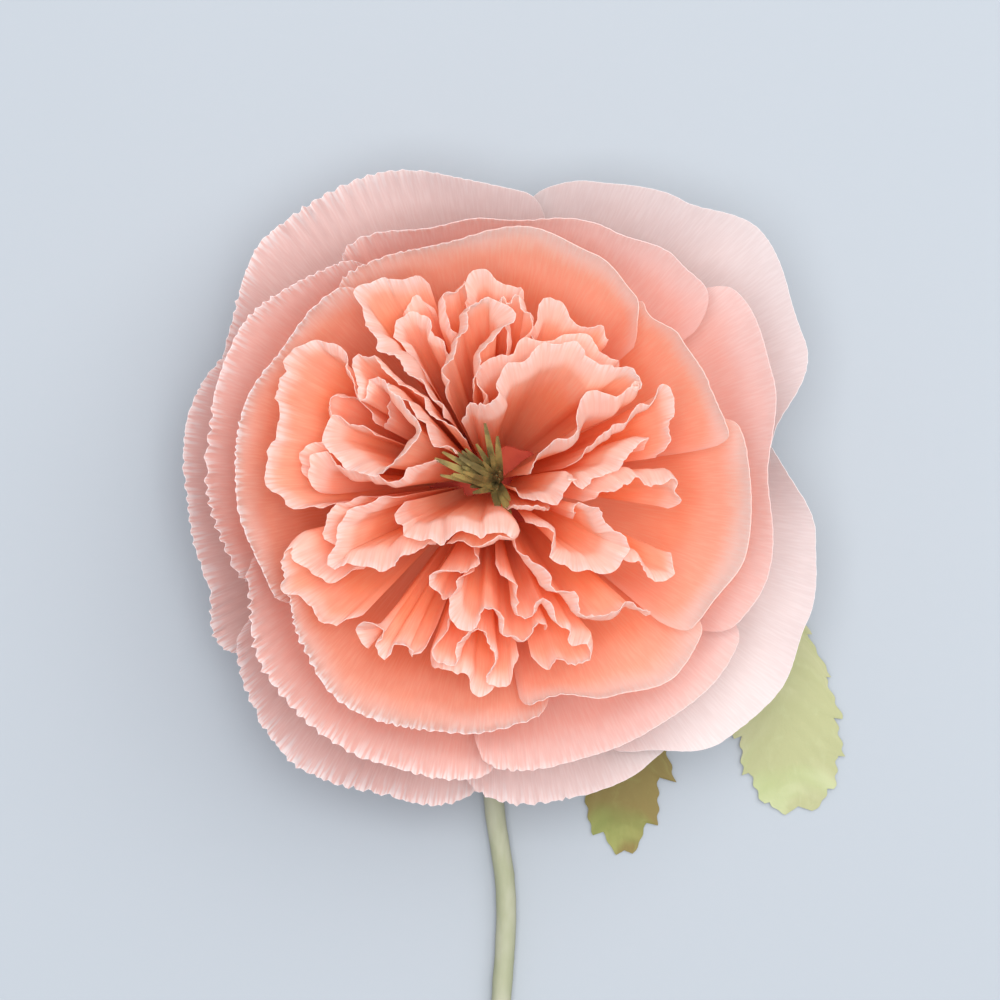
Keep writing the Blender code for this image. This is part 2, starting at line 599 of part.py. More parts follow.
def stem(green, steel):
    """The wire, its paper wrapping and the rolled paper hip under the bloom."""
    tube("stem_wire", stem_line(BALL_TOP_Z - WIRE_COVER, WIRE_PROUD), WIRE_RADIUS, steel, detail=1)
    tube("stem_wrap", stem_line(BEND_TOP_Z, 0), STEM_RADIUS, green, wall=STEM_RADIUS - BORE_RADIUS)
    high = HIP_Z + HIP_HEIGHT
    outline = [
        (BORE_RADIUS, HIP_Z), (STEM_RADIUS + 0.5, HIP_Z), (HIP_RADIUS, (HIP_Z + high) / 2),
        (HIP_RADIUS - 0.6, high), (BORE_RADIUS, high),
    ]
    turned("hip", outline, 12, green, closed=True)


def paper_ball(material):
    """The rolled paper ball that carries the petals, with a blind bore for the wire."""
    bore_top = BALL_TOP_Z - WIRE_COVER + SEAT_GAP
    outline = [
        (0, BALL_TOP_Z), (BALL_TOP_RADIUS, BALL_TOP_Z), (BALL_BOTTOM_RADIUS, BALL_Z), (BORE_RADIUS, BALL_Z),
        (BORE_RADIUS, bore_top), (0, bore_top),
    ]
    turned("paper_ball", outline, 20, material)


def calyx(material):
    """The green calyx, one star of pointed sepals around the wire, lying under the guard petals."""
    profiles = row_profiles()
    count = SEPALS * len(SEPAL_SHAPE)
    flat = (BORE_RADIUS + SEAT_GAP, HIP_RADIUS, BALL_BOTTOM_RADIUS - 0.5)
    outward = np.array([0.1, 0.5, 1.0])
    grid = np.zeros((count, len(flat) + len(outward), 3))
    for i in range(count):
        angle = 360 * (i / count) - 54
        turn = math.radians(angle)
        grid[i, :len(flat)] = [(r * math.cos(turn), r * math.sin(turn), CALYX_Z) for r in flat]
        reach = SEPAL_REACH * SEPAL_SHAPE[i % len(SEPAL_SHAPE)]
        along = row_point(3 + ROW_LAP, angle, 0.02 + reach * outward, profiles)
        radius = np.linalg.norm(along[:, :2], axis=1)
        along[:, :2] *= (1 - CALYX_DROP / radius)[:, None]
        along[:, 2] -= CALYX_DROP
        grid[i, len(flat):] = along
    return sheet("calyx", grid, PAPER, material, ring=True)


def tuft(material):
    """The fringed strip of olive paper rolled up in the middle of the bloom."""
    bm = bmesh.new()
    base = BALL_TOP_Z + SEAT_GAP
    bmesh.ops.create_cone(
        bm, cap_ends=True, segments=TUFT_STRIPS, radius1=TUFT_RADIUS * MM, radius2=TUFT_RADIUS * MM,
        depth=TUFT_HEIGHT * MM
    )
    bmesh.ops.translate(bm, vec=(0, 0, (base + TUFT_HEIGHT / 2) * MM), verts=bm.verts)
    top = max(bm.faces, key=lambda face: face.calc_center_median().z)
    ring = bmesh.ops.inset_region(bm, faces=[top], thickness=0.45 * TUFT_RADIUS * MM)["faces"]
    bmesh.ops.inset_individual(bm, faces=ring, thickness=0.04 * TUFT_RADIUS * MM)
    for k, face in enumerate(ring):
        rise = TUFT_STRIP_RISE * (0.7 + 0.3 * math.cos(2.3 * k))
        out = face.calc_center_median().copy()
        out.z = 0
        out.normalize()
        for spread, share in TUFT_STRIP_STEPS:
            face = bmesh.ops.extrude_discrete_faces(bm, faces=[face])["faces"][0]
            shift = out * (TUFT_STRIP_SPREAD * spread * MM)
            shift.z = rise * share * MM
            bmesh.ops.translate(bm, vec=shift, verts=face.verts)
    return add_bmesh("stamen_tuft", bm, material)


def stalk_line():
    """The leaf stalk's middle line: bound beside the stem, then down to the surface and out to the right."""
    beside = STEM_RADIUS + SEAT_GAP + STALK_RADIUS
    start = STEM_BEND_RADIUS + TAPE_START
    line = [(beside, -start - TAPE_LENGTH - 1.0, STEM_Z), (beside, -start + 1.0, STEM_Z)]
    line += [(x, y, STALK_RADIUS) for x, y in STALK_ROUTE]
    smooth = smooth_line(line, 4)
    smooth[:, 2] = np.maximum(smooth[:, 2], STALK_RADIUS)
    smooth[:5, 0] = beside
    return smooth


def leaf(name, base, tip, width, material):
    """One toothed leaf, folded a little along its rib, from on top of the stalk down to the surface."""
    base = np.array(base, float)
    tip = np.array(tip, float)
    along = tip - base
    length = np.linalg.norm(along)
    along /= length
    side = np.array([-along[1], along[0]])
    high = 2 * STALK_RADIUS + SEAT_GAP + LEAF_THICKNESS / 2
    low = LEAF_THICKNESS / 2
    per_tooth = 3
    count = per_tooth * LEAF_TEETH
    grid = np.zeros((count + 1, len(LEAF_ROWS), 3))
    for i, part in enumerate(np.linspace(0, 1, count + 1)):
        round_edge = math.sin(math.pi * (0.04 + 0.93 * part ** 0.8)) ** 0.75
        tooth = 1 + 0.18 * ((i % per_tooth) / (per_tooth - 1) - 0.5) * (part > 0.12)
        half = width / 2 * round_edge * tooth
        rib_z = low + (high - low) * (1 - part) ** 1.4 + PETAL_CLEARANCE * math.sin(math.pi * part) * part
        for j, share in enumerate(LEAF_ROWS):
            droop = 0.8 * (rib_z - low) * abs(share) ** 1.5 * min(1, 6 * part)
            place = base + along * (length * part + 0.5 * half * abs(share)) + side * half * share
            grid[i, j] = (*place, rib_z - droop)
    return sheet(name, grid, LEAF_THICKNESS, material)


def binding_tape(material):
    """The turns of tape around the stem and the stalk: a sleeve around two circles side by side."""
    stem_side = STEM_RADIUS + SEAT_GAP
    stalk_side = STALK_RADIUS + SEAT_GAP
    apart = STEM_RADIUS + SEAT_GAP + STALK_RADIUS
    lean = math.acos((stem_side - stalk_side) / apart)
    places = []
    for centre, radius, start, end, steps in (
        (0, stem_side, lean, 2 * math.pi - lean, 10), (apart, stalk_side, -lean, lean, 5)
    ):
        for turn in np.linspace(start, end, steps):
            places.append((centre, radius, turn))
    points = []
    for y in (TAPE_START, TAPE_START + TAPE_LENGTH):
        for wall in (0, TAPE_WALL):
            for centre, radius, turn in places:
                reach = radius + wall
                x = centre + reach * math.cos(turn)
                z = STEM_Z + reach * math.sin(turn)
                points.append((x, -STEM_BEND_RADIUS - y, z))
    n = len(places)
    faces = []
    for i in range(n):
        k = (i + 1) % n
        inner, outer, far_inner, far_outer = 0, n, 2 * n, 3 * n
        faces.append((outer + i, outer + k, far_outer + k, far_outer + i))
        faces.append((inner + k, inner + i, far_inner + i, far_inner + k))
        faces.append((inner + i, inner + k, outer + k, outer + i))
        faces.append((far_inner + k, far_inner + i, far_outer + i, far_outer + k))
    made = add_mesh("binding_tape", points, faces, material)
    bm = bmesh.new()
    bm.from_mesh(made.data)
    bmesh.ops.recalc_face_normals(bm, faces=bm.faces)
    bm.to_mesh(made.data)
    bm.free()
    return made


def leaf_spray(stalk_material, leaf_material):
    """The stalk, its two leaves and the tape that binds it to the stem."""
    tube("leaf_stalk", stalk_line(), STALK_RADIUS, stalk_material, detail=1)
    for name, (base, tip, width) in LEAVES.items():
        leaf(name, base, tip, width, leaf_material)
    binding_tape(stalk_material)


def centre_on_surface():
    """Hangs every piece on one empty, placed so that the origin is under the middle of the whole box."""
    pieces = [found for found in bpy.context.scene.objects if found.type != "EMPTY"]
    evaluated = bpy.context.evaluated_depsgraph_get()
    corners = []
    for piece in pieces:
        mesh = piece.evaluated_get(evaluated).to_mesh()
        places = np.zeros(3 * len(mesh.vertices))
        mesh.vertices.foreach_get("co", places)
        corners += [places.reshape(-1, 3).min(axis=0), places.reshape(-1, 3).max(axis=0)]
        piece.evaluated_get(evaluated).to_mesh_clear()
    low = np.min(corners, axis=0)
    high = np.max(corners, axis=0)
    rose = bpy.data.objects.new("rose", None)
    bpy.context.scene.collection.objects.link(rose)
    rose.location = (-(low[0] + high[0]) / 2, -(low[1] + high[1]) / 2, -low[2])
    for piece in pieces:
        piece.parent = rose


def main():
    """Builds the rose."""
    clear_scene()
    folded_paper = finish("folded_crepe", CREAM, 0.85)
    cup_paper = finish("cup_crepe", CREAM, 0.85)
    outer_paper = finish("outer_crepe", BLUSH, 0.85)
    ball_paper = finish("ball_paper", CORAL, 0.9)
    olive_paper = finish("olive_crepe", OLIVE, 0.85)
    green = finish("stem_crepe", STEM_GREEN, 0.8)
    leaf_paper = finish("leaf_crepe", LEAF_GREEN, 0.8)
    steel = finish("wire_steel", STEEL, 0.4, 1.0)
    rosette(folded_paper)
    broad_rows(cup_paper, outer_paper)
    paper_ball(ball_paper)
    stem(green, steel)
    calyx(green)
    tuft(olive_paper)
    leaf_spray(green, leaf_paper)
    centre_on_surface()


main()
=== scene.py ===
"""A paper rose of crepe petals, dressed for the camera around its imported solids.

The rose lies on its back with the bloom facing up and its wrapped stem along the floor. Every petal is
modelled again as a finer sheet on the same middle lines as its solid, with curled lips, crimped rims
and the crepe's grain. Lengths in the classes are millimetres from the bloom's axis unless a name says
otherwise, and MM turns them into metres.
"""

import logging
import math
from dataclasses import dataclass, field, replace
from enum import Enum
from typing import Optional

import bpy
import numpy as np
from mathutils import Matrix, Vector


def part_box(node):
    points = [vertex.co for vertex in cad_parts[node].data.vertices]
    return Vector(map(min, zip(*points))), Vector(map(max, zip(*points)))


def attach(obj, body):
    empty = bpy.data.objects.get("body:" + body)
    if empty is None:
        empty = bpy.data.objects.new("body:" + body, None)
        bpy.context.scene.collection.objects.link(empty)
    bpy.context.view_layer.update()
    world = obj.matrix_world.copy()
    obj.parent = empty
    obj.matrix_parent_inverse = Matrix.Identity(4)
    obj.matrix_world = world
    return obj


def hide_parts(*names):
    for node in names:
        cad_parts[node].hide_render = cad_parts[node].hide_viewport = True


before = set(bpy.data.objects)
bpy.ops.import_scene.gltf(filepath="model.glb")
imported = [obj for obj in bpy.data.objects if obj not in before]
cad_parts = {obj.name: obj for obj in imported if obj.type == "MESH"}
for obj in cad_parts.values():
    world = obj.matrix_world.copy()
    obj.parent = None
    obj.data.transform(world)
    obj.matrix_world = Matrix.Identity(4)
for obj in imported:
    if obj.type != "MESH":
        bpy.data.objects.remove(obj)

LOG = logging.getLogger("paper_rose")
MM = 0.001

Colour = tuple[float, float, float]
Outline = list[tuple[float, float]]

# The crepe paper and the rosette's frame, in millimetres
PAPER = 0.3
SHOWN_PAPER = 0.12
SHEET_GAP = 0.35
SEAT_GAP = 0.3
ROSETTE_RADIUS = 46.5
ROSETTE_HEIGHT = 36.0
GATHER = 0.3
FLARE_AT_AXIS = 1.3
FLARE_AT_EDGE = 1.0
END_DROP = 0.22
BALL_Z = 18.85
BALL_HEIGHT = 9.2
BALL_TOP_Z = BALL_Z + BALL_HEIGHT
BALL_TOP_RADIUS = 14.2
BALL_BOTTOM_RADIUS = 12.0
TUFT_WELL = 2.0
SETTLE_PASSES = 90
SETTLE_EASE = 0.6
KIN = 4

# The stem and what lies beside it
STEM_Z = 2.95
STEM_RADIUS = 2.25
STALK_RADIUS = 0.9
LEAF_THICKNESS = 0.35
PETAL_CLEARANCE = 1.2
ROW_LAP = 0.17
CORNER_DROP = 0.2
CORNER_POWER = 4
CORNER_ROUND = 6.0
CORNER_FROM = 0.84

# The folded petals' lips: the shares of the free room that they take outside and inside, the most room
# that counts, how much lower a rim passes underneath, how near its own folds are left out, how far a
# lip reaches for its length, how far it bends over and leans, and how deep the creases are
LIP_SHARE = 0.45
SET_IN_SHARE = 0.35
ROOM_CAP = 14.0
PASSES_OVER = 2.4
OWN_REACH = 4.0
LIP_REACH = 0.78
LIP_BENDS = (0.02, 1.65)
LIP_LEAN = 0.2
CREASE_DEPTH = 1.35

# The colour's fade behind a folded lip, which paints shade under the lip and down the petal: where on the lip
# it starts, how far it runs on into the petal, how deep the petal darkens, and how much each of the three
# stretches adds
FADE_START = 0.8
FADE_RUN = 2.8
FADE_DEPTH = 11
FADE_STEPS = (3.6, 5.8, 11.6)

# The bare cut edge of crepe, and how the painted shade runs across the bloom, from its lit right side to its
# shaded left
WHITE_RIM = (0.99, 0.94, 0.92)
SLANT = 0.25
LIT_SIDE_FROM = 0.035
SHADED_SIDE_FROM = -0.05

# The crepe's marks, as (length, least length, mask's limits), the scales of its noises along and below
# the rim in centimetres, and the places of the ramp's colours
PLEAT_STREAKS = (1.1, 0.12, (0.46, 0.66))
RIM_STROKES = (0.42, 0.02, (0.34, 0.56))
PLEATS_ON_RIGHT = 0.1
STROKES = (11.0, 1.0, 1.0)
STROKE_ENDS = (2.0, 0.0, 1.0)
GRAIN = (22.0, 1.6, 1.0)
GRAIN_SHARE = 0.32
GRAIN_COLOUR = (1.0, 0.97, 0.95)
FADE_DRIFT = 1.1
RAMP_STOPS = (0.08, 0.42, 0.95)


class Slot(Enum):
    """The record's material slots."""

    FOLDED = "folded_crepe"
    CUP = "cup_crepe"
    OUTER = "outer_crepe"
    BALL = "ball_paper"
    OLIVE = "olive_crepe"
    STEM = "stem_crepe"
    LEAF = "leaf_crepe"
    WIRE = "wire_steel"


def smoothstep(value: np.ndarray) -> np.ndarray:
    """Eases a share from 0 to 1.

    Args:
        value: Shares, clipped to 0 to 1.

    Returns:
        The eased shares.
    """
    t = np.clip(value, 0, 1)
    return t * t * (3 - 2 * t)


def smooth_line(points: Outline, per_span: int = 4) -> np.ndarray:
    """Draws a smooth curve through points.

    Args:
        points: The points that the curve passes through.
        per_span: How many steps there are from one point to the next.

    Returns:
        The curve's points.
    """
    p = np.array(points, float)
    ends = np.vstack([2 * p[0] - p[1], p, 2 * p[-1] - p[-2]])
    t = np.linspace(0, 1, per_span, endpoint=False)[:, None]
    spans = []
    for a, b, c, d in zip(ends, ends[1:], ends[2:], ends[3:]):
        bend = (2 * a - 5 * b + 4 * c - d) * t**2 + (3 * b - a - 3 * c + d) * t**3
        spans.append(0.5 * (2 * b + (c - a) * t + bend))
    return np.vstack([*spans, p[-1:]])


def run_lengths(line: np.ndarray) -> np.ndarray:
    """Measures a line.

    Args:
        line: Its points.

    Returns:
        The length along the line at each of its points.
    """
    return np.r_[0, np.cumsum(np.linalg.norm(np.diff(line, axis=0), axis=1))]


def resampled(values: np.ndarray, along: np.ndarray, wanted: np.ndarray) -> np.ndarray:
    """Reads values at other places along a line.

    Args:
        values: One value or point for each place in along.
        along: The places where they are known.
        wanted: The places where they are wanted.

    Returns:
        The values there.
    """
    if values.ndim == 1:
        return np.interp(wanted, along, values)
    return np.column_stack([np.interp(wanted, along, values[:, k]) for k in range(values.shape[1])])


def even(line: np.ndarray, step: float, least: int = 5) -> np.ndarray:
    """Cuts a line into even steps.

    Args:
        line: Its points.
        step: About how long each step is.
        least: The fewest points that come back.

    Returns:
        The points of the evenly cut line.
    """
    along = run_lengths(line)
    count = max(least, round(along[-1] / step) + 1)
    return resampled(line, along, np.linspace(0, along[-1], count))


@dataclass(frozen=True)
class Ripple:
    """Smooth noise along a length, the same each time for one seed.

    Attributes:
        seed: Which noise it is.
    """

    seed: int

    def waver(self, along: np.ndarray, wavelength: float) -> np.ndarray:
        """Reads smooth noise from -1 to 1.

        Args:
            along: Where it is read, in millimetres.
            wavelength: The distance from one random value to the next.

        Returns:
            The noise there.
        """
        place = np.asarray(along, float) / wavelength
        place = place - place.min()
        chance = np.random.default_rng(self.seed + round(97 * wavelength))
        knots = chance.uniform(-1, 1, int(place.max()) + 3)
        n = place.astype(int)
        t = smoothstep(place - n)
        return knots[n] * (1 - t) + knots[n + 1] * t

    def crimp(self, along: np.ndarray, wavelength: float) -> np.ndarray:
        """Reads an uneven wave from -1 to 1, as a crimped edge has.

        Args:
            along: Where it is read, in millimetres.
            wavelength: The mean length of one wave.

        Returns:
            The wave there.
        """
        phase = 2 * math.pi * along / wavelength + 4.2 * self.waver(along, 2.6 * wavelength)
        return np.sin(phase) * (0.15 + 0.85 * smoothstep(0.5 + 0.6 * self.waver(along, 5.3 * wavelength)))

    def crease(self, along: np.ndarray, length: float) -> np.ndarray:
        """Reads noise from -1 to 1 that runs straight from fold to fold, as creased paper does.

        Args:
            along: Where it is read, in millimetres.
            length: The mean distance between folds.

        Returns:
            The noise there.
        """
        place = (along - along.min()) / length
        count = int(place.max()) + 3
        chance = np.random.default_rng(self.seed + round(131 * length))
        folds = np.arange(count) + chance.uniform(-0.36, 0.36, count)
        heights = chance.uniform(0.25, 1, count) * np.where(np.arange(count) % 2, 1, -1)
        return np.interp(place, folds, heights)


@dataclass
class Sheet:
    """A sheet of paper as a grid of points on its middle surface.

    Attributes:
        points: Places in millimetres from the bloom's axis, by [along][up], with the rim last.
        thickness: The paper's thickness in millimetres.
        lip: How long the part that is folded over is, at each column; nothing where the paper isn't folded.
    """

    points: np.ndarray
    thickness: float = SHOWN_PAPER
    lip: Optional[np.ndarray] = None

    def normals(self) -> np.ndarray:
        """Finds the unit normal at each point.

        Returns:
            The normals, by [along][up].
        """
        along = np.gradient(self.points, axis=0)
        up = np.gradient(self.points, axis=1)
        normal = np.cross(along, up)
        return normal / np.maximum(np.linalg.norm(normal, axis=2, keepdims=True), 1e-9)

    def from_rim(self) -> np.ndarray:
        """Measures how far each point lies below the rim, along the paper.

        Returns:
            The lengths in millimetres, by [along][up].
        """
        steps = np.linalg.norm(np.diff(self.points, axis=1), axis=2)
        below = np.cumsum(steps[:, ::-1], axis=1)[:, ::-1]
        return np.concatenate([below, np.zeros((len(below), 1))], axis=1)

    def along_rim(self) -> np.ndarray:
        """Measures the length along the rim at each column.

        Returns:
            The lengths in millimetres.
        """
        return run_lengths(self.points[:, -1])

    def fade(self) -> np.ndarray:
        """Says how far the colour has faded in: a folded lip stays pale, and the paper behind it darkens with
        painted shade under the lip.

        Returns:
            The fade, which is the length below the rim where the paper isn't folded.
        """
        below = self.from_rim()
        if self.lip is None:
            return below
        lip = self.lip[:, None]
        on_lip = np.clip(below / (FADE_START * lip), 0, 1)
        past = np.clip((below - FADE_START * lip) / ((1 - FADE_START) * lip + FADE_RUN), 0, 1)
        inside = np.clip((below - lip - FADE_RUN) / FADE_DEPTH, 0, 1)
        return FADE_STEPS[0] * on_lip + FADE_STEPS[1] * past + FADE_STEPS[2] * inside

    def pushed(self, amount: np.ndarray) -> "Sheet":
        """Moves each point along the sheet's normal.

        Args:
            amount: How far, in millimetres, by [along][up].

        Returns:
            The moved sheet.
        """
        return replace(self, points=self.points + self.normals() * amount[..., None])

    def stretched(self, amount: np.ndarray, reach: float) -> "Sheet":
        """Lengthens the sheet past its rim, fading out below it.

        Args:
            amount: How far each column's rim moves, in millimetres.
            reach: How far below the rim the move fades out.

        Returns:
            The stretched sheet.
        """
        up = self.points[:, -1] - self.points[:, -3]
        up /= np.maximum(np.linalg.norm(up, axis=1, keepdims=True), 1e-9)
        fade = np.exp(-self.from_rim() / reach)
        return replace(self, points=self.points + up[:, None, :] * (amount[:, None] * fade)[..., None])


class Workbench:
    """Makes pieces from sheets with Blender's own operators."""

    def __init__(self, bloom: Vector) -> None:
        """Keeps where the bloom's axis meets the surface.

        Args:
            bloom: That place in metres.
        """
        self.bloom = bloom

    def deselect(self) -> None:
        """Leaves nothing selected."""
        if bpy.context.object and bpy.context.object.mode != "OBJECT":
            bpy.ops.object.mode_set(mode="OBJECT")
        bpy.ops.object.select_all(action="DESELECT")

    def grid(self, name: str, sheet: Sheet) -> bpy.types.Object:
        """Lays a grid over a sheet's points, with two UV maps in centimetres.

        "Paper" runs along the rim and below it, and "Fade" says how far the colour has faded in.

        Args:
            name: The new object's name.
            sheet: The sheet.

        Returns:
            The object, one surface with no thickness.
        """
        self.deselect()
        across, up = sheet.points.shape[:2]
        bpy.ops.mesh.primitive_grid_add(x_subdivisions=across - 1, y_subdivisions=up - 1, size=2)
        made = bpy.context.active_object
        made.name = name
        made.data.name = name
        mesh = made.data
        flat = np.empty(3 * len(mesh.vertices), np.float32)
        mesh.vertices.foreach_get("co", flat)
        flat = flat.reshape(-1, 3)
        i = np.rint((flat[:, 0] + 1) / 2 * (across - 1)).astype(int)
        j = np.rint((flat[:, 1] + 1) / 2 * (up - 1)).astype(int)
        placed = sheet.points[i, j] * MM + np.array(self.bloom)
        mesh.vertices.foreach_set("co", placed.astype(np.float32).ravel())
        along = np.broadcast_to(sheet.along_rim()[:, None], (across, up))
        uv = np.stack([along[i, j], sheet.from_rim()[i, j]], axis=1) / 10
        corner = np.empty(len(mesh.loops), np.int32)
        mesh.loops.foreach_get("vertex_index", corner)
        mesh.uv_layers[0].name = "Paper"
        mesh.uv_layers[0].uv.foreach_set("vector", uv[corner].astype(np.float32).ravel())
        uv = np.stack([sheet.fade()[i, j] / 10, np.zeros(len(flat))], axis=1)
        mesh.uv_layers.new(name="Fade").uv.foreach_set("vector", uv[corner].astype(np.float32).ravel())
        mesh.update()
        return made

    def paper(self, name: str, sheet: Sheet, material: bpy.types.Material) -> bpy.types.Object:
        """Makes a piece of paper with its real thickness.

        Args:
            name: The piece's name.
            sheet: Its middle surface.
            material: Its finish.

        Returns:
            The piece.
        """
        made = self.grid(name, sheet)
        thick = made.modifiers.new("paper", "SOLIDIFY")
        thick.thickness = sheet.thickness * MM
        thick.offset = 0
        bpy.ops.object.modifier_apply(modifier=thick.name)
        bpy.ops.object.shade_smooth()
        made.data.set_sharp_from_angle(angle=math.radians(55))
        made.data.materials.append(material)
        return made

    def rod(self, name: str, rings: np.ndarray, material: bpy.types.Material) -> bpy.types.Object:
        """Makes a closed round bar from rings of points.

        Args:
            name: The piece's name.
            rings: The points by [ring][around], with the first place of each ring repeated last.
            material: Its finish.

        Returns:
            The piece, capped at both ends.
        """
        made = self.grid(name, Sheet(rings))
        bpy.ops.object.mode_set(mode="EDIT")
        bpy.ops.mesh.select_all(action="SELECT")
        bpy.ops.mesh.remove_doubles(threshold=0.000001)
        bpy.ops.mesh.select_all(action="DESELECT")
        bpy.ops.mesh.select_non_manifold()
        bpy.ops.mesh.fill_holes(sides=0)
        bpy.ops.mesh.select_all(action="SELECT")
        bpy.ops.mesh.normals_make_consistent(inside=False)
        bpy.ops.object.mode_set(mode="OBJECT")
        made.data.shade_smooth()
        made.data.set_sharp_from_angle(angle=math.radians(50))
        made.data.materials.append(material)
        return made

    def join(self, name: str, parts: list[bpy.types.Object]) -> bpy.types.Object:
        """Joins parts that are one piece of paper.

        Args:
            name: The piece's name.
            parts: The parts.

        Returns:
            The piece.
        """
        self.deselect()
        for part in parts:
            part.select_set(True)
        bpy.context.view_layer.objects.active = parts[0]
        bpy.ops.object.join()
        made = bpy.context.active_object
        made.name = name
        made.data.name = name
        return made


def stand_for(piece: bpy.types.Object, node: str) -> None:
    """Hands a finished piece to the frame in the place of its solid.

    Args:
        piece: The piece.
        node: The solid's name.
    """
    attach(piece, "root")
    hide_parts(node)
    LOG.info("%s stands for %s", piece.name, node)


@dataclass
class NodeTree:
    """A material's nodes, with short calls to add and join them.

    Attributes:
        material: The material that they belong to.
    """

    material: bpy.types.Material

    def add(self, kind: str, **values: object) -> bpy.types.Node:
        """Adds a node.

        Args:
            kind: Its type.
            values: Its properties.

        Returns:
            The node.
        """
        made = self.material.node_tree.nodes.new(kind)
        for name, value in values.items():
            setattr(made, name, value)
        return made

    def feed(self, node: bpy.types.Node, inputs: dict[object, object]) -> bpy.types.Node:
        """Sets a node's inputs, and links those that come from a socket.

        Args:
            node: The node.
            inputs: Values and sockets, by the inputs' names or places.

        Returns:
            The node.
        """
        for place, value in inputs.items():
            if isinstance(value, bpy.types.NodeSocket):
                self.material.node_tree.links.new(value, node.inputs[place])
            else:
                node.inputs[place].default_value = value
        return node

    def shade(self, inputs: dict[str, object]) -> bpy.types.Node:
        """Sets the Principled shader's inputs.

        Args:
            inputs: Values and sockets, by the inputs' names.

        Returns:
            The shader.
        """
        return self.feed(self.material.node_tree.nodes["Principled BSDF"], inputs)

    def math(
        self, operation: str, first: object, second: object, clamp: bool = False
    ) -> bpy.types.NodeSocket:
        """Adds a sum of two numbers or sockets.

        Args:
            operation: The Math node's operation.
            first: A number or a socket.
            second: A number or a socket.
            clamp: Whether the result is kept to 0 to 1.

        Returns:
            The result's socket.
        """
        made = self.add("ShaderNodeMath", operation=operation, use_clamp=clamp)
        return self.feed(made, {0: first, 1: second}).outputs[0]

    def between(self, value: bpy.types.NodeSocket, low: float, high: float) -> bpy.types.NodeSocket:
        """Eases a socket's value to a share.

        Args:
            value: The socket.
            low: The value that gives 0.
            high: The value that gives 1.

        Returns:
            The share's socket.
        """
        made = self.add("ShaderNodeMapRange", interpolation_type="SMOOTHSTEP")
        return self.feed(made, {"Value": value, "From Min": low, "From Max": high}).outputs["Result"]

    def mix(self, share: object, first: object, second: object, blend: str = "MIX") -> bpy.types.NodeSocket:
        """Mixes two colours.

        Args:
            share: How much of the second is taken, a number or a socket.
            first: A colour or a socket.
            second: A colour or a socket.
            blend: The Mix node's blend type.

        Returns:
            The mixed colour's socket.
        """
        first, second = ((*value, 1) if isinstance(value, tuple) else value for value in (first, second))
        made = self.add("ShaderNodeMix", data_type="RGBA", blend_type=blend)
        return self.feed(made, {0: share, 6: first, 7: second}).outputs[2]

    def noise(
        self, vector: bpy.types.NodeSocket, scale: float = 1.0, detail: float = 1.0
    ) -> bpy.types.NodeSocket:
        """Adds a noise texture.

        Args:
            vector: Where it is read.
            scale: How many waves there are in one unit.
            detail: How many finer noises are added.

        Returns:
            Its value's socket.
        """
        made = self.add("ShaderNodeTexNoise", noise_dimensions="2D")
        return self.feed(made, {"Vector": vector, "Scale": scale, "Detail": detail}).outputs["Fac"]

    def scaled(
        self, vector: bpy.types.NodeSocket, scale: tuple[float, float, float]
    ) -> bpy.types.NodeSocket:
        """Scales a vector by axis.

        Args:
            vector: The vector's socket.
            scale: The scale along each axis.

        Returns:
            The scaled vector's socket.
        """
        made = self.add("ShaderNodeVectorMath", operation="MULTIPLY")
        return self.feed(made, {0: vector, 1: scale}).outputs[0]

    def split(self, vector: bpy.types.NodeSocket) -> tuple[bpy.types.NodeSocket, bpy.types.NodeSocket]:
        """Takes a vector apart.

        Args:
            vector: The vector's socket.

        Returns:
            The sockets of its x and its y.
        """
        made = self.feed(self.add("ShaderNodeSeparateXYZ"), {0: vector})
        return made.outputs["X"], made.outputs["Y"]

    def grained(self, height: bpy.types.NodeSocket, depth: float) -> bpy.types.NodeSocket:
        """Adds a bump of half strength.

        Args:
            height: The grain's height, a share.
            depth: How deep it is, in millimetres.

        Returns:
            The bumped normal's socket.
        """
        made = self.add("ShaderNodeBump")
        return self.feed(made, {"Strength": 0.5, "Distance": depth * MM, "Height": height}).outputs[0]


def new_tree(name: str) -> NodeTree:
    """Makes a material with nodes.

    Args:
        name: The material's name.

    Returns:
        Its nodes.
    """
    material = bpy.data.materials.new(name)
    material.use_nodes = True
    return NodeTree(material)


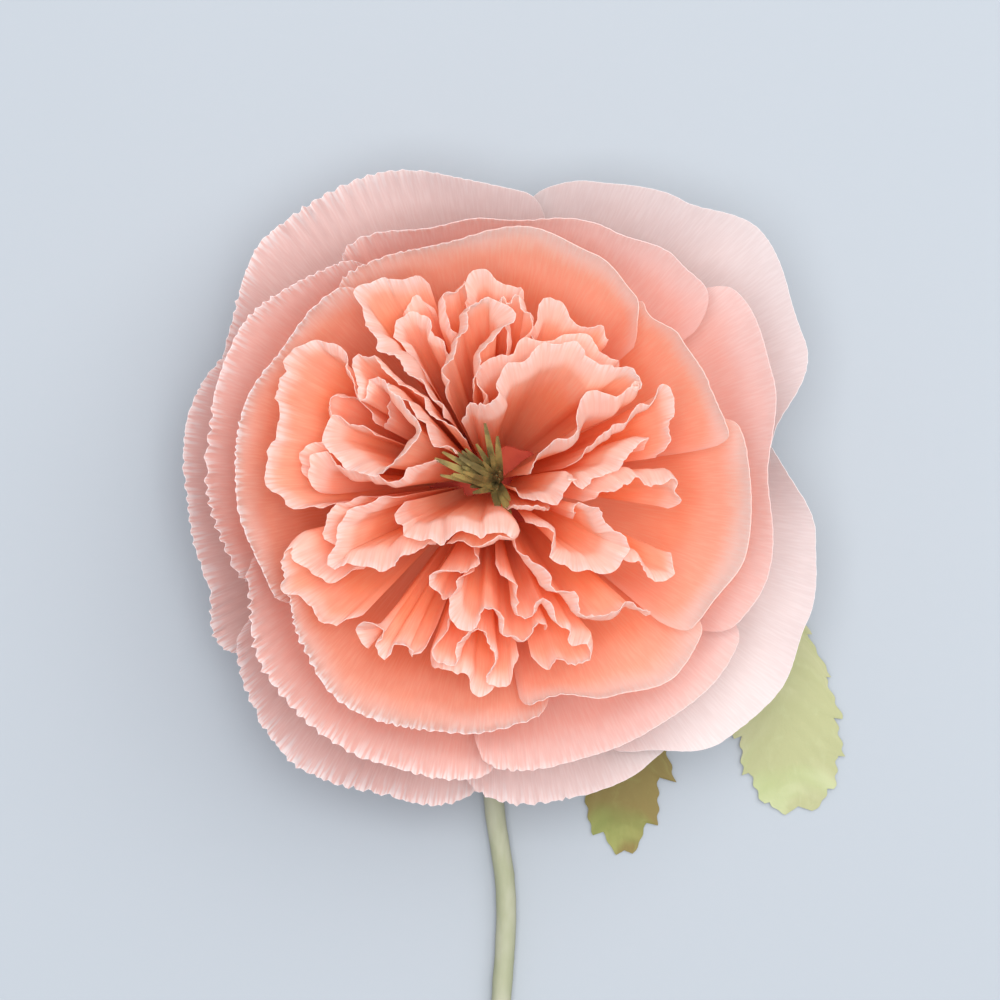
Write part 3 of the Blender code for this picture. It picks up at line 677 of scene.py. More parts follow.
@dataclass(frozen=True)
class Crepe:
    """Crepe paper, pale at its rim and deeper in colour below, where painted shade adds to the paper's own
    deeper colour.

    Attributes:
        name: The material's name.
        edge: The colour of the cut rim.
        near: The colour just below the rim.
        middle: The colour halfway down.
        deep: The colour at the bottom, the paper's deeper colour with painted shade.
        reach: How far below the rim, in centimetres, the deep colour is reached.
        shade: A painted shade that is laid over the left side, where less light falls.
        shine_through: How much light passes through the paper.
        pleats: How strongly pale streaks run down from the rim.
        rim: How white the cut rim is on the left and on the right.
    """

    name: str
    edge: Colour
    near: Colour
    middle: Colour
    deep: Colour
    reach: float
    shade: Colour = (1.0, 1.0, 1.0)
    shine_through: float = 0.3
    pleats: float = 0.5
    rim: tuple[float, float] = (0.8, 0.2)

    def build(self, bloom: Vector) -> bpy.types.Material:
        """Makes the material.

        Args:
            bloom: Where the bloom's axis meets the surface.

        Returns:
            The material.
        """
        tree = new_tree(self.name)
        place = tree.add("ShaderNodeUVMap", uv_map="Paper").outputs[0]
        below = tree.split(place)[1]
        left = self.leftness(tree, bloom)
        colour = self.graded(tree, place)
        # Painted shade: the left side of the bloom, where less light falls, is darkened by the shade colour
        colour = tree.mix(left, colour, self.shade, "MULTIPLY")
        stroke = tree.noise(tree.scaled(place, STROKES))
        reach = tree.noise(tree.scaled(place, STROKE_ENDS))
        shown = tree.math("ADD", tree.math("MULTIPLY", left, 1 - PLEATS_ON_RIGHT), PLEATS_ON_RIGHT)
        pleated = tree.math("MULTIPLY", shown, self.pleats)
        cut = tree.math("ADD", tree.math("MULTIPLY", left, self.rim[0] - self.rim[1]), self.rim[1])
        for (length, least, narrow), amount, pale in (
            (PLEAT_STREAKS, pleated, self.edge), (RIM_STROKES, cut, WHITE_RIM)
        ):
            fade = tree.math("DIVIDE", below, tree.math("ADD", tree.math("MULTIPLY", reach, length), least))
            mask = tree.math("MULTIPLY", tree.between(stroke, *narrow), tree.between(fade, 1.0, 0.15))
            colour = tree.mix(tree.math("MULTIPLY", mask, amount), colour, pale)
        grain = tree.noise(tree.scaled(place, GRAIN), detail=1.5)
        lighter = tree.math("MULTIPLY", tree.between(grain, 0.3, 0.8), GRAIN_SHARE)
        colour = tree.mix(lighter, colour, GRAIN_COLOUR, "SOFT_LIGHT")
        shader = tree.shade({"Roughness": 0.85, "Specular IOR Level": 0.15, "Base Color": colour})
        through = tree.feed(tree.add("ShaderNodeBsdfTranslucent"), {"Color": colour})
        both = tree.add("ShaderNodeMixShader")
        tree.feed(both, {0: self.shine_through, 1: shader.outputs[0], 2: through.outputs[0]})
        tree.feed(tree.material.node_tree.nodes["Material Output"], {"Surface": both.outputs[0]})
        return tree.material

    def graded(self, tree: NodeTree, place: bpy.types.NodeSocket) -> bpy.types.NodeSocket:
        """Colours the paper from the rim down, painting shade into its depths.

        Args:
            tree: The material's nodes.
            place: The paper's own coordinates.

        Returns:
            The colour's socket.
        """
        faded = tree.split(tree.add("ShaderNodeUVMap", uv_map="Fade").outputs[0])[0]
        cloud = tree.noise(place, 0.55)
        drift = tree.math("MULTIPLY", tree.math("SUBTRACT", cloud, 0.5), FADE_DRIFT)
        depth = tree.math("DIVIDE", tree.math("ADD", faded, drift), self.reach, clamp=True)
        ramp = tree.feed(tree.add("ShaderNodeValToRGB"), {0: depth})
        ramp.color_ramp.interpolation = "EASE"
        stops = ramp.color_ramp.elements
        stops.new(RAMP_STOPS[1])
        for stop, place_on, colour in zip(stops, RAMP_STOPS, (self.near, self.middle, self.deep)):
            stop.position = place_on
            stop.color = (*colour, 1)
        return ramp.outputs[0]

    @staticmethod
    def leftness(tree: NodeTree, bloom: Vector) -> bpy.types.NodeSocket:
        """Tells the bloom's left side, which takes the painted shade and where the paper is more pleated.

        Args:
            tree: The material's nodes.
            bloom: Where the bloom's axis meets the surface.

        Returns:
            The socket of a share from 0 on the right to 1 on the left.
        """
        x, y = tree.split(tree.add("ShaderNodeTexCoord").outputs["Object"])
        slant = tree.math("ADD", x, tree.math("MULTIPLY", y, SLANT))
        middle = bloom.x + SLANT * bloom.y
        return tree.between(slant, middle + LIT_SIDE_FROM, middle + SHADED_SIDE_FROM)


@dataclass(frozen=True)
class Plain:
    """A plain matt finish with a mottled colour and a fine grain.

    Attributes:
        name: The material's name.
        colour: Its main colour.
        other: The colour of its mottling.
        scale: How fine the mottling is, in waves a metre.
        roughness: The shader's roughness.
        metallic: The shader's metalness.
        stretch: How the mottling is stretched by axis.
        bump: How deep the grain is, in millimetres.
    """

    name: str
    colour: Colour
    other: Colour
    scale: float = 120.0
    roughness: float = 0.8
    metallic: float = 0.0
    stretch: tuple[float, float, float] = (1.0, 1.0, 1.0)
    bump: float = 0.1

    def build(self) -> bpy.types.Material:
        """Makes the material.

        Returns:
            The material.
        """
        tree = new_tree(self.name)
        spot = tree.scaled(tree.add("ShaderNodeTexCoord").outputs["Object"], self.stretch)
        cloud = tree.noise(spot, self.scale, 3.0)
        grain = tree.noise(spot, self.scale * 9, 2.0)
        colour = tree.mix(tree.between(cloud, 0.38, 0.66), self.colour, self.other)
        grain = tree.grained(grain, self.bump)
        tree.shade({
            "Roughness": self.roughness, "Metallic": self.metallic, "Normal": grain, "Base Color": colour,
        })
        return tree.material


@dataclass(frozen=True)
class LeafPaper:
    """Painted leaf paper, with veins and a darker stain along the rib.

    Attributes:
        name: The material's name.
        blade: The blade's colour.
        pale: The colour of its lighter patches and veins.
        stain: The colour along the rib and at the tip.
        stained: How much of the blade the stain covers.
    """

    name: str
    blade: Colour
    pale: Colour
    stain: Colour
    stained: float

    def build(self) -> bpy.types.Material:
        """Makes the material.

        Returns:
            The material.
        """
        tree = new_tree(self.name)
        place = tree.add("ShaderNodeUVMap", uv_map="Paper").outputs[0]
        cloud = tree.noise(place, 1.1, 3.0)
        colour = tree.mix(tree.between(cloud, 0.3, 0.75), self.blade, self.pale)
        patch = tree.noise(place, 0.62, 2.0)
        brown = tree.math("MULTIPLY", tree.between(patch, 0.62, 0.42), self.stained)
        colour = tree.mix(brown, colour, self.stain)
        spread = tree.noise(tree.scaled(place, (14.0, 3.0, 1.0)), 1.0, 3.0)
        colour = tree.mix(tree.between(spread, 0.5, 1.3), colour, self.pale)
        tree.shade({"Roughness": 0.7, "Normal": tree.grained(spread, 0.2), "Base Color": colour})
        return tree.material


def gathered(radius: np.ndarray, rise: np.ndarray) -> np.ndarray:
    """Says how far in a folded petal has gathered at a height, as its solid does.

    Args:
        radius: How far from the axis the rim's points are.
        rise: The share of the rosette's height.

    Returns:
        The share of the full reach, from 0.3 at the ball to 1 at the rim.
    """
    share = np.clip(radius / ROSETTE_RADIUS, 0, 1.2)
    bend = FLARE_AT_AXIS + (FLARE_AT_EDGE - FLARE_AT_AXIS) * np.minimum(share, 1)
    return GATHER + (1 - GATHER) * np.maximum(rise, 0) ** bend


@dataclass(frozen=True)
class FoldedPetal:
    """One folded petal of the rosette.

    Attributes:
        name: Its solid's name.
        rise: How far its rim stands above the rosette's height.
        lips: How far its lip rolls to the left of the rim's run, or to the right if negative, at even
            steps along the rim.
        plan: The rim's run as seen from above.
    """

    name: str
    rise: float
    lips: tuple[float, ...]
    plan: Outline

    @property
    def seed(self) -> int:
        """A number of the petal's own for its noise."""
        return sum(ord(letter) * (k + 3) for k, letter in enumerate(self.name))


@dataclass
class Rosette:
    """All the folded petals, moved apart as paper pushes paper aside.

    Attributes:
        petals: The petals.
        wall_rows: How many points each petal has from the ball to its lip.
        lip_rows: How many points its lip has.
        step: The step along the rim, in millimetres.
    """

    petals: list[FoldedPetal]
    wall_rows: int = 17
    lip_rows: int = 9
    step: float = 0.62
    lines: list[np.ndarray] = field(default_factory=list)

    def settle(self) -> None:
        """Moves the rims apart until no two sheets are nearer than the pitch, as the solids' source does."""
        pitch = (PAPER + SHEET_GAP) / GATHER
        well = TUFT_WELL / GATHER
        lines = [even(smooth_line(petal.plan, 12), pitch / 2) for petal in self.petals]
        owner = np.concatenate([np.full(len(line), k) for k, line in enumerate(lines)])
        order = np.concatenate([np.arange(len(line)) for line in lines])
        points = np.vstack(lines)
        joined = owner[1:] == owner[:-1]
        first = second = np.zeros(0, int)
        for turn in range(SETTLE_PASSES):
            if turn % 6 == 0:
                first, second = self.neighbours(points, owner, order, pitch + 4)
            apart = points[first] - points[second]
            distance = np.linalg.norm(apart, axis=1)
            short = np.maximum(pitch - distance, 0)
            push = apart / np.maximum(distance, 1e-6)[:, None] * short[:, None]
            total = np.column_stack([np.bincount(first, push[:, k], len(points)) for k in (0, 1)])
            hits = np.maximum(np.bincount(first, short > 0, len(points)), 1)[:, None]
            move = 0.5 * total / hits
            eased = move.copy()
            eased[:-1][joined] += 0.5 * move[1:][joined]
            eased[1:][joined] += 0.5 * move[:-1][joined]
            points = points + SETTLE_EASE * eased
            radius = np.linalg.norm(points, axis=1)
            points *= (np.clip(radius, well, ROSETTE_RADIUS) / np.maximum(radius, 1e-6))[:, None]
        self.lines = [points[owner == k] for k in range(len(lines))]

    @staticmethod
    def neighbours(
        points: np.ndarray, owner: np.ndarray, order: np.ndarray, reach: float
    ) -> tuple[np.ndarray, np.ndarray]:
        """Lists the pairs of points within reach that aren't next to each other on one rim.

        Args:
            points: The points of all rims.
            owner: Which petal each point is on.
            order: Its place along that petal's rim.
            reach: The distance that counts as near, in millimetres.

        Returns:
            The first and the second point of each pair.
        """
        square = (points**2).sum(axis=1)
        distance = square[:, None] + square[None, :] - 2 * points @ points.T
        first, second = np.nonzero(distance < reach**2)
        kin = (owner[first] == owner[second]) & (np.abs(order[first] - order[second]) <= KIN)
        return first[~kin], second[~kin]

    def room(self, line: np.ndarray, side: np.ndarray, index: int) -> np.ndarray:
        """Measures the free distance to one side of a rim, to the rims that aren't lower and its own folds.

        Args:
            line: The rim's points.
            side: The direction to look in at each point.
            index: The petal's place in the list.

        Returns:
            The distance at each point, evened out along the rim.
        """
        floor = self.petals[index].rise - PASSES_OVER
        others = [rim for k, rim in enumerate(self.lines) if k != index and self.petals[k].rise > floor]
        points = np.vstack([*others, line])
        along = run_lengths(line)
        near = np.zeros((len(line), len(points)), bool)
        near[:, -len(line):] = np.abs(along[:, None] - along[None, :]) < OWN_REACH
        apart = points[None, :, :] - line[:, None, :]
        ahead = (apart * side[:, None, :]).sum(axis=2)
        distance = np.linalg.norm(apart, axis=2)
        free = np.where((ahead > 0.3 * distance) & ~near, distance, np.inf).min(axis=1)
        free = np.clip(free - PAPER, 0, ROOM_CAP)
        return np.convolve(np.pad(free, 3, mode="edge"), np.ones(7) / 7, mode="valid")

    def sheet(self, index: int) -> Sheet:
        """Shapes one petal: a gathered wall, a lip that rolls over, pleats and a crimped edge.

        Args:
            index: The petal's place in the list.

        Returns:
            Its middle surface.
        """
        petal = self.petals[index]
        noise = Ripple(petal.seed)
        line = even(smooth_line(self.lines[index], 3), self.step, 24)
        along = run_lengths(line)
        run = np.gradient(line, along, axis=0)
        run /= np.maximum(np.linalg.norm(run, axis=1), 1e-9)[:, None]
        left = np.column_stack([-run[:, 1], run[:, 0]])
        share = np.linspace(0, 1, len(line))
        ends = smoothstep(5 * np.minimum(share, 1 - share))
        lip = np.interp(share, np.linspace(0, 1, len(petal.lips)), petal.lips)
        lip = lip * (0.85 + 0.3 * noise.waver(along, 8) + 0.3 * noise.crease(along + 17, 5))
        rooms = [self.room(line, left * way, index) for way in (1, -1)]
        outer = np.where(lip > 0, rooms[0], rooms[1])
        inner = np.where(lip > 0, rooms[1], rooms[0])
        side = left * np.where(lip > 0, 1.0, -1.0)[:, None]
        set_in = np.minimum(0.85 * np.abs(lip), SET_IN_SHARE * inner) * ends
        wanted = np.minimum(np.abs(lip), LIP_SHARE * outer + set_in) * (0.25 + 0.75 * ends)
        length = (0.2 * max(np.abs(petal.lips)) + 0.8 * np.abs(lip)) / LIP_REACH + 0.5
        bend = np.minimum(1, np.arange(0.5, self.lip_rows) / (0.42 * self.lip_rows))
        angles = np.linspace(*LIP_BENDS, 60)
        turn = np.interp(0.85 * wanted / length, np.sin(angles[:, None] * bend).mean(axis=1), angles)
        angle = turn[:, None] * bend
        lean = LIP_LEAN * wanted
        fold = CREASE_DEPTH * noise.crease(along, 5.6) * np.minimum(1, 0.3 * np.minimum(outer, inner))
        across = 2 * share - 1
        top = (ROSETTE_HEIGHT + petal.rise) * (1 - END_DROP * across**4) - 0.7 * length
        top = top + (0.9 * noise.waver(along + 40, 9) + 0.6 * noise.crease(along + 31, 5.7) - 1.0) * ends
        rows = []
        for part in np.linspace(0, 1, self.wall_rows) ** 0.85:
            shift = side * (lean * part**3 - set_in * part)[:, None] + left * (fold * part**1.4)[:, None]
            rows.append(self.level(line + shift, top * part, line))
        base = line + side * (lean - set_in)[:, None] + left * fold[:, None]
        outs = np.cumsum(np.sin(angle), axis=1) * (length / self.lip_rows)[:, None]
        ups = np.cumsum(np.cos(angle), axis=1) * (length / self.lip_rows)[:, None]
        for out, up in zip(outs.T, ups.T):
            rows.append(self.level(base + side * out[:, None], top + up, line))
        return self.textured(Sheet(np.stack(rows, axis=1), lip=length), noise)

    @staticmethod
    def level(plan: np.ndarray, height: np.ndarray, line: np.ndarray) -> np.ndarray:
        """Places a row of points over the ball, gathered towards the axis as the rim's line is.

        Args:
            plan: The points as seen from above.
            height: Their heights over the ball.
            line: The rim's line, which says how far from the axis each column is.

        Returns:
            The points.
        """
        radius = np.linalg.norm(line, axis=1)
        scale = gathered(radius, height / ROSETTE_HEIGHT)
        seat = BALL_TOP_Z + SEAT_GAP + PAPER / 2
        return np.column_stack([plan * scale[:, None], seat + height])

    @staticmethod
    def textured(sheet: Sheet, noise: Ripple) -> Sheet:
        """Adds the pleats that run down from the rim, the crimped edge and its ragged cut.

        Args:
            sheet: The smooth sheet.
            noise: The petal's own noise.

        Returns:
            The crumpled sheet.
        """
        along = sheet.along_rim()
        below = sheet.from_rim()
        height = (sheet.points[:, :, 2] - BALL_TOP_Z) / ROSETTE_HEIGHT
        pleat = 0.26 * noise.crimp(along, 4.6)[:, None] * np.clip(height, 0, 1) * np.exp(-below / 26)
        crimp = 0.2 * noise.crimp(along + 7, 1.5)[:, None] * np.exp(-below / 3.5)
        wave = (0.45 * noise.waver(along + 3, 4.8) + 0.85 * noise.crease(along + 8, 3.4))[:, None]
        wave = wave * np.exp(-below / 5)
        ragged = 0.1 * noise.crimp(along + 2, 1.7) + 0.6 * noise.crease(along + 5, 3.8)
        return sheet.stretched(ragged, 2.5).pushed(pleat + crimp + wave)

    def build(self, bench: Workbench, material: bpy.types.Material) -> None:
        """Makes every folded petal.

        Args:
            bench: What makes the pieces.
            material: Their paper.
        """
        self.settle()
        for index, petal in enumerate(self.petals):
            piece = bench.paper(f"{petal.name}_paper", self.sheet(index), material)
            stand_for(piece, petal.name)
        LOG.info("%d folded petals", len(self.petals))


@dataclass(frozen=True)
class Row:
    """A row of broad petals' middle line and how far it reaches at each angle.

    Attributes:
        seat: Its seat on the ball as a share of the ball's height.
        rim: The rim's radius.
        run: Shares of the way out and of the height.
        base: The height from which the run's heights are measured.
        high: The height that they are shares of.
        reach: Angles, and the share of the radius that the row reaches there.
    """

    seat: float
    rim: float
    run: Outline
    base: float
    high: float
    reach: Outline

    def profile(self) -> np.ndarray:
        """Draws the middle line from the ball to the rim.

        Returns:
            Its points as (radius, height).
        """
        start = BALL_BOTTOM_RADIUS + (BALL_TOP_RADIUS - BALL_BOTTOM_RADIUS) * self.seat + SEAT_GAP + PAPER
        points = [(start, BALL_Z + BALL_HEIGHT * self.seat)]
        points += [(start + (self.rim - start) * out, self.base + self.high * up) for out, up in self.run]
        return smooth_line(points, 16)

    def at(self, share: np.ndarray) -> np.ndarray:
        """Reads the middle line at shares of the way from the ball to the rim."""
        line = self.profile()
        return resampled(line, np.linspace(0, 1, len(line)), share)

    def reach_at(self, angle: float) -> float:
        """Reads how far the row reaches at an angle.

        Args:
            angle: Degrees about the axis.

        Returns:
            The share of the profile's radius.
        """
        angles, reaches = zip(*self.reach)
        knots = np.array([angles[-1] - 360, *angles, angles[0] + 360])
        shares = np.array([reaches[-1], *reaches, reaches[0]])
        angle = angle % 360
        n = int(np.clip(np.searchsorted(knots, angle, side="right") - 1, 0, len(knots) - 2))
        t = smoothstep((angle - knots[n]) / (knots[n + 1] - knots[n]))
        return float(shares[n] * (1 - t) + shares[n + 1] * t)


def plateau(angle: float, start: float, end: float, ease: float) -> float:
    """Makes a share that is 1 between two angles, and falls to 0 on both sides.

    Args:
        angle: Where it is read, in degrees.
        start: The first angle.
        end: The last angle.
        ease: The degrees over which it falls.

    Returns:
        The share.
    """
    away = abs((angle - (start + end) / 2 + 180) % 360 - 180) - (end - start) / 2
    return float(smoothstep(1 - away / ease))


def lift(angle: float) -> float:
    """Says how far the guard petals rise off the surface over the stem and the leaf spray.

    Args:
        angle: Degrees about the axis.

    Returns:
        The rise in millimetres.
    """
    over_stem = 2 * STEM_Z + PETAL_CLEARANCE
    over_leaves = 2 * STALK_RADIUS + SEAT_GAP + LEAF_THICKNESS + 2 * PETAL_CLEARANCE
    return max(over_stem * plateau(angle, 262, 281, 22), over_leaves * plateau(angle, 280, 345, 26))


@dataclass(frozen=True)
class Frill:
    """How a row's edge is crimped.

    Attributes:
        crimp: How deep the fine crimping is, in millimetres.
        pleat: How deep the pleats below it are.
        fade: How far below the rim the pleats fade out.
        ragged: How uneven the cut is.
        sway: How far the rim sways in long waves.
    """

    crimp: float = 0.35
    pleat: float = 0.3
    fade: float = 7.0
    ragged: float = 0.3
    sway: float = 0.8


@dataclass
class BroadRows:
    """The cup, the middle row and the guard row.

    Attributes:
        rows: The three rows' middle lines, from the inside out.
        height_rows: How many points each petal has from the ball to the rim.
        step: The step along a petal, in degrees.
    """

    rows: tuple[Row, Row, Row]
    height_rows: int = 30
    step: float = 0.62

    def place(self, row: float, angle: float, share: np.ndarray) -> np.ndarray:
        """Finds points of a petal, as its solid's source does.

        Args:
            row: 1 for the cup, 2 for the middle row and 3 for the guard row, or between them.
            angle: Degrees about the axis.
            share: Shares of the way from the ball to the rim.

        Returns:
            The points.
        """
        knots = (1, 2, 3 + ROW_LAP)
        lower = 0 if row < 2 else 1
        part = (row - knots[lower]) / (knots[lower + 1] - knots[lower])
        inner, outer = self.rows[lower], self.rows[lower + 1]
        spot = inner.at(share) * (1 - part) + outer.at(share) * part
        reach = inner.reach_at(angle) * (1 - part) + outer.reach_at(angle) * part
        radius = spot[:, 0] * (1 + (reach - 1) * share**1.5)
        high = spot[:, 1] + lift(angle) * min(max(row - 2, 0), 1) * np.sin(np.pi * share) ** 1.5
        turn = math.radians(angle)
        return np.column_stack([radius * math.cos(turn), radius * math.sin(turn), high])

    def sheet(self, name: str, row: int, start: float, end: float, frill: Frill) -> Sheet:
        """Shapes one broad petal.

        Args:
            name: Its solid's name.
            row: Its row.
            start: The angle of its first edge, which lies inside its neighbour.
            end: The angle of its last edge, which lies outside.
            frill: How its edge is crimped.

        Returns:
            Its middle surface.
        """
        noise = Ripple(sum(ord(letter) * (k + 5) for k, letter in enumerate(name)))
        count = round((end - start) / self.step)
        shares = np.linspace(0, 1, self.height_rows) ** 0.8
        points = np.zeros((count + 1, self.height_rows, 3))
        for i, part in enumerate(np.linspace(0, 1, count + 1)):
            across = 2 * part - 1
            rounded = CORNER_ROUND * max(abs(across) - CORNER_FROM, 0) ** 2
            top = 1 - CORNER_DROP * abs(across) ** CORNER_POWER - rounded
            points[i] = self.place(row + ROW_LAP * across, start + (end - start) * part, shares * top)
        return self.textured(Sheet(points), noise, frill)

    @staticmethod
    def textured(sheet: Sheet, noise: Ripple, frill: Frill) -> Sheet:
        """Adds long waves, pleats, the crimped edge and its ragged cut.

        Args:
            sheet: The smooth sheet.
            noise: The petal's own noise.
            frill: How its edge is crimped.

        Returns:
            The frilled sheet.
        """
        along = sheet.along_rim()
        below = sheet.from_rim()
        start = smoothstep(np.linspace(0, 4, sheet.points.shape[1]))[None, :]
        rim = sheet.points[:, -1]
        left = 0.12 + 0.88 * smoothstep((30 - rim[:, 0] - 0.25 * rim[:, 1]) / 70)
        sway = frill.sway * noise.waver(along, 17)[:, None] * np.exp(-below / 22)
        pleat = frill.pleat * (left * noise.crimp(along + 4, 3.0))[:, None] * np.exp(-below / frill.fade)
        crimp = frill.crimp * (left * noise.crimp(along + 9, 1.9))[:, None] * np.exp(-below / 2.2)
        ragged = frill.ragged * left * (noise.crimp(along + 1, 2.1) + noise.waver(along + 6, 5.3))
        return sheet.stretched(ragged, 2.5).pushed((sway + pleat + crimp) * start)

    def build(
        self, bench: Workbench, row: int, spans: dict[str, tuple[float, float]], frill: Frill,
        material: bpy.types.Material, slot: Slot
    ) -> None:
        """Makes one row's petals.

        Args:
            bench: What makes the pieces.
            row: 1 for the cup, 2 for the middle row and 3 for the guard row.
            spans: The first and last angle of each petal, by name.
            frill: How the edges are crimped.
            material: Their paper.
            slot: Not used.
        """
        for name, (start, end) in spans.items():
            sheet = self.sheet(name, row, start, end, frill)
            stand_for(bench.paper(f"{name}_paper", sheet, material), name)
        LOG.info("%d petals in row %d", len(spans), row)


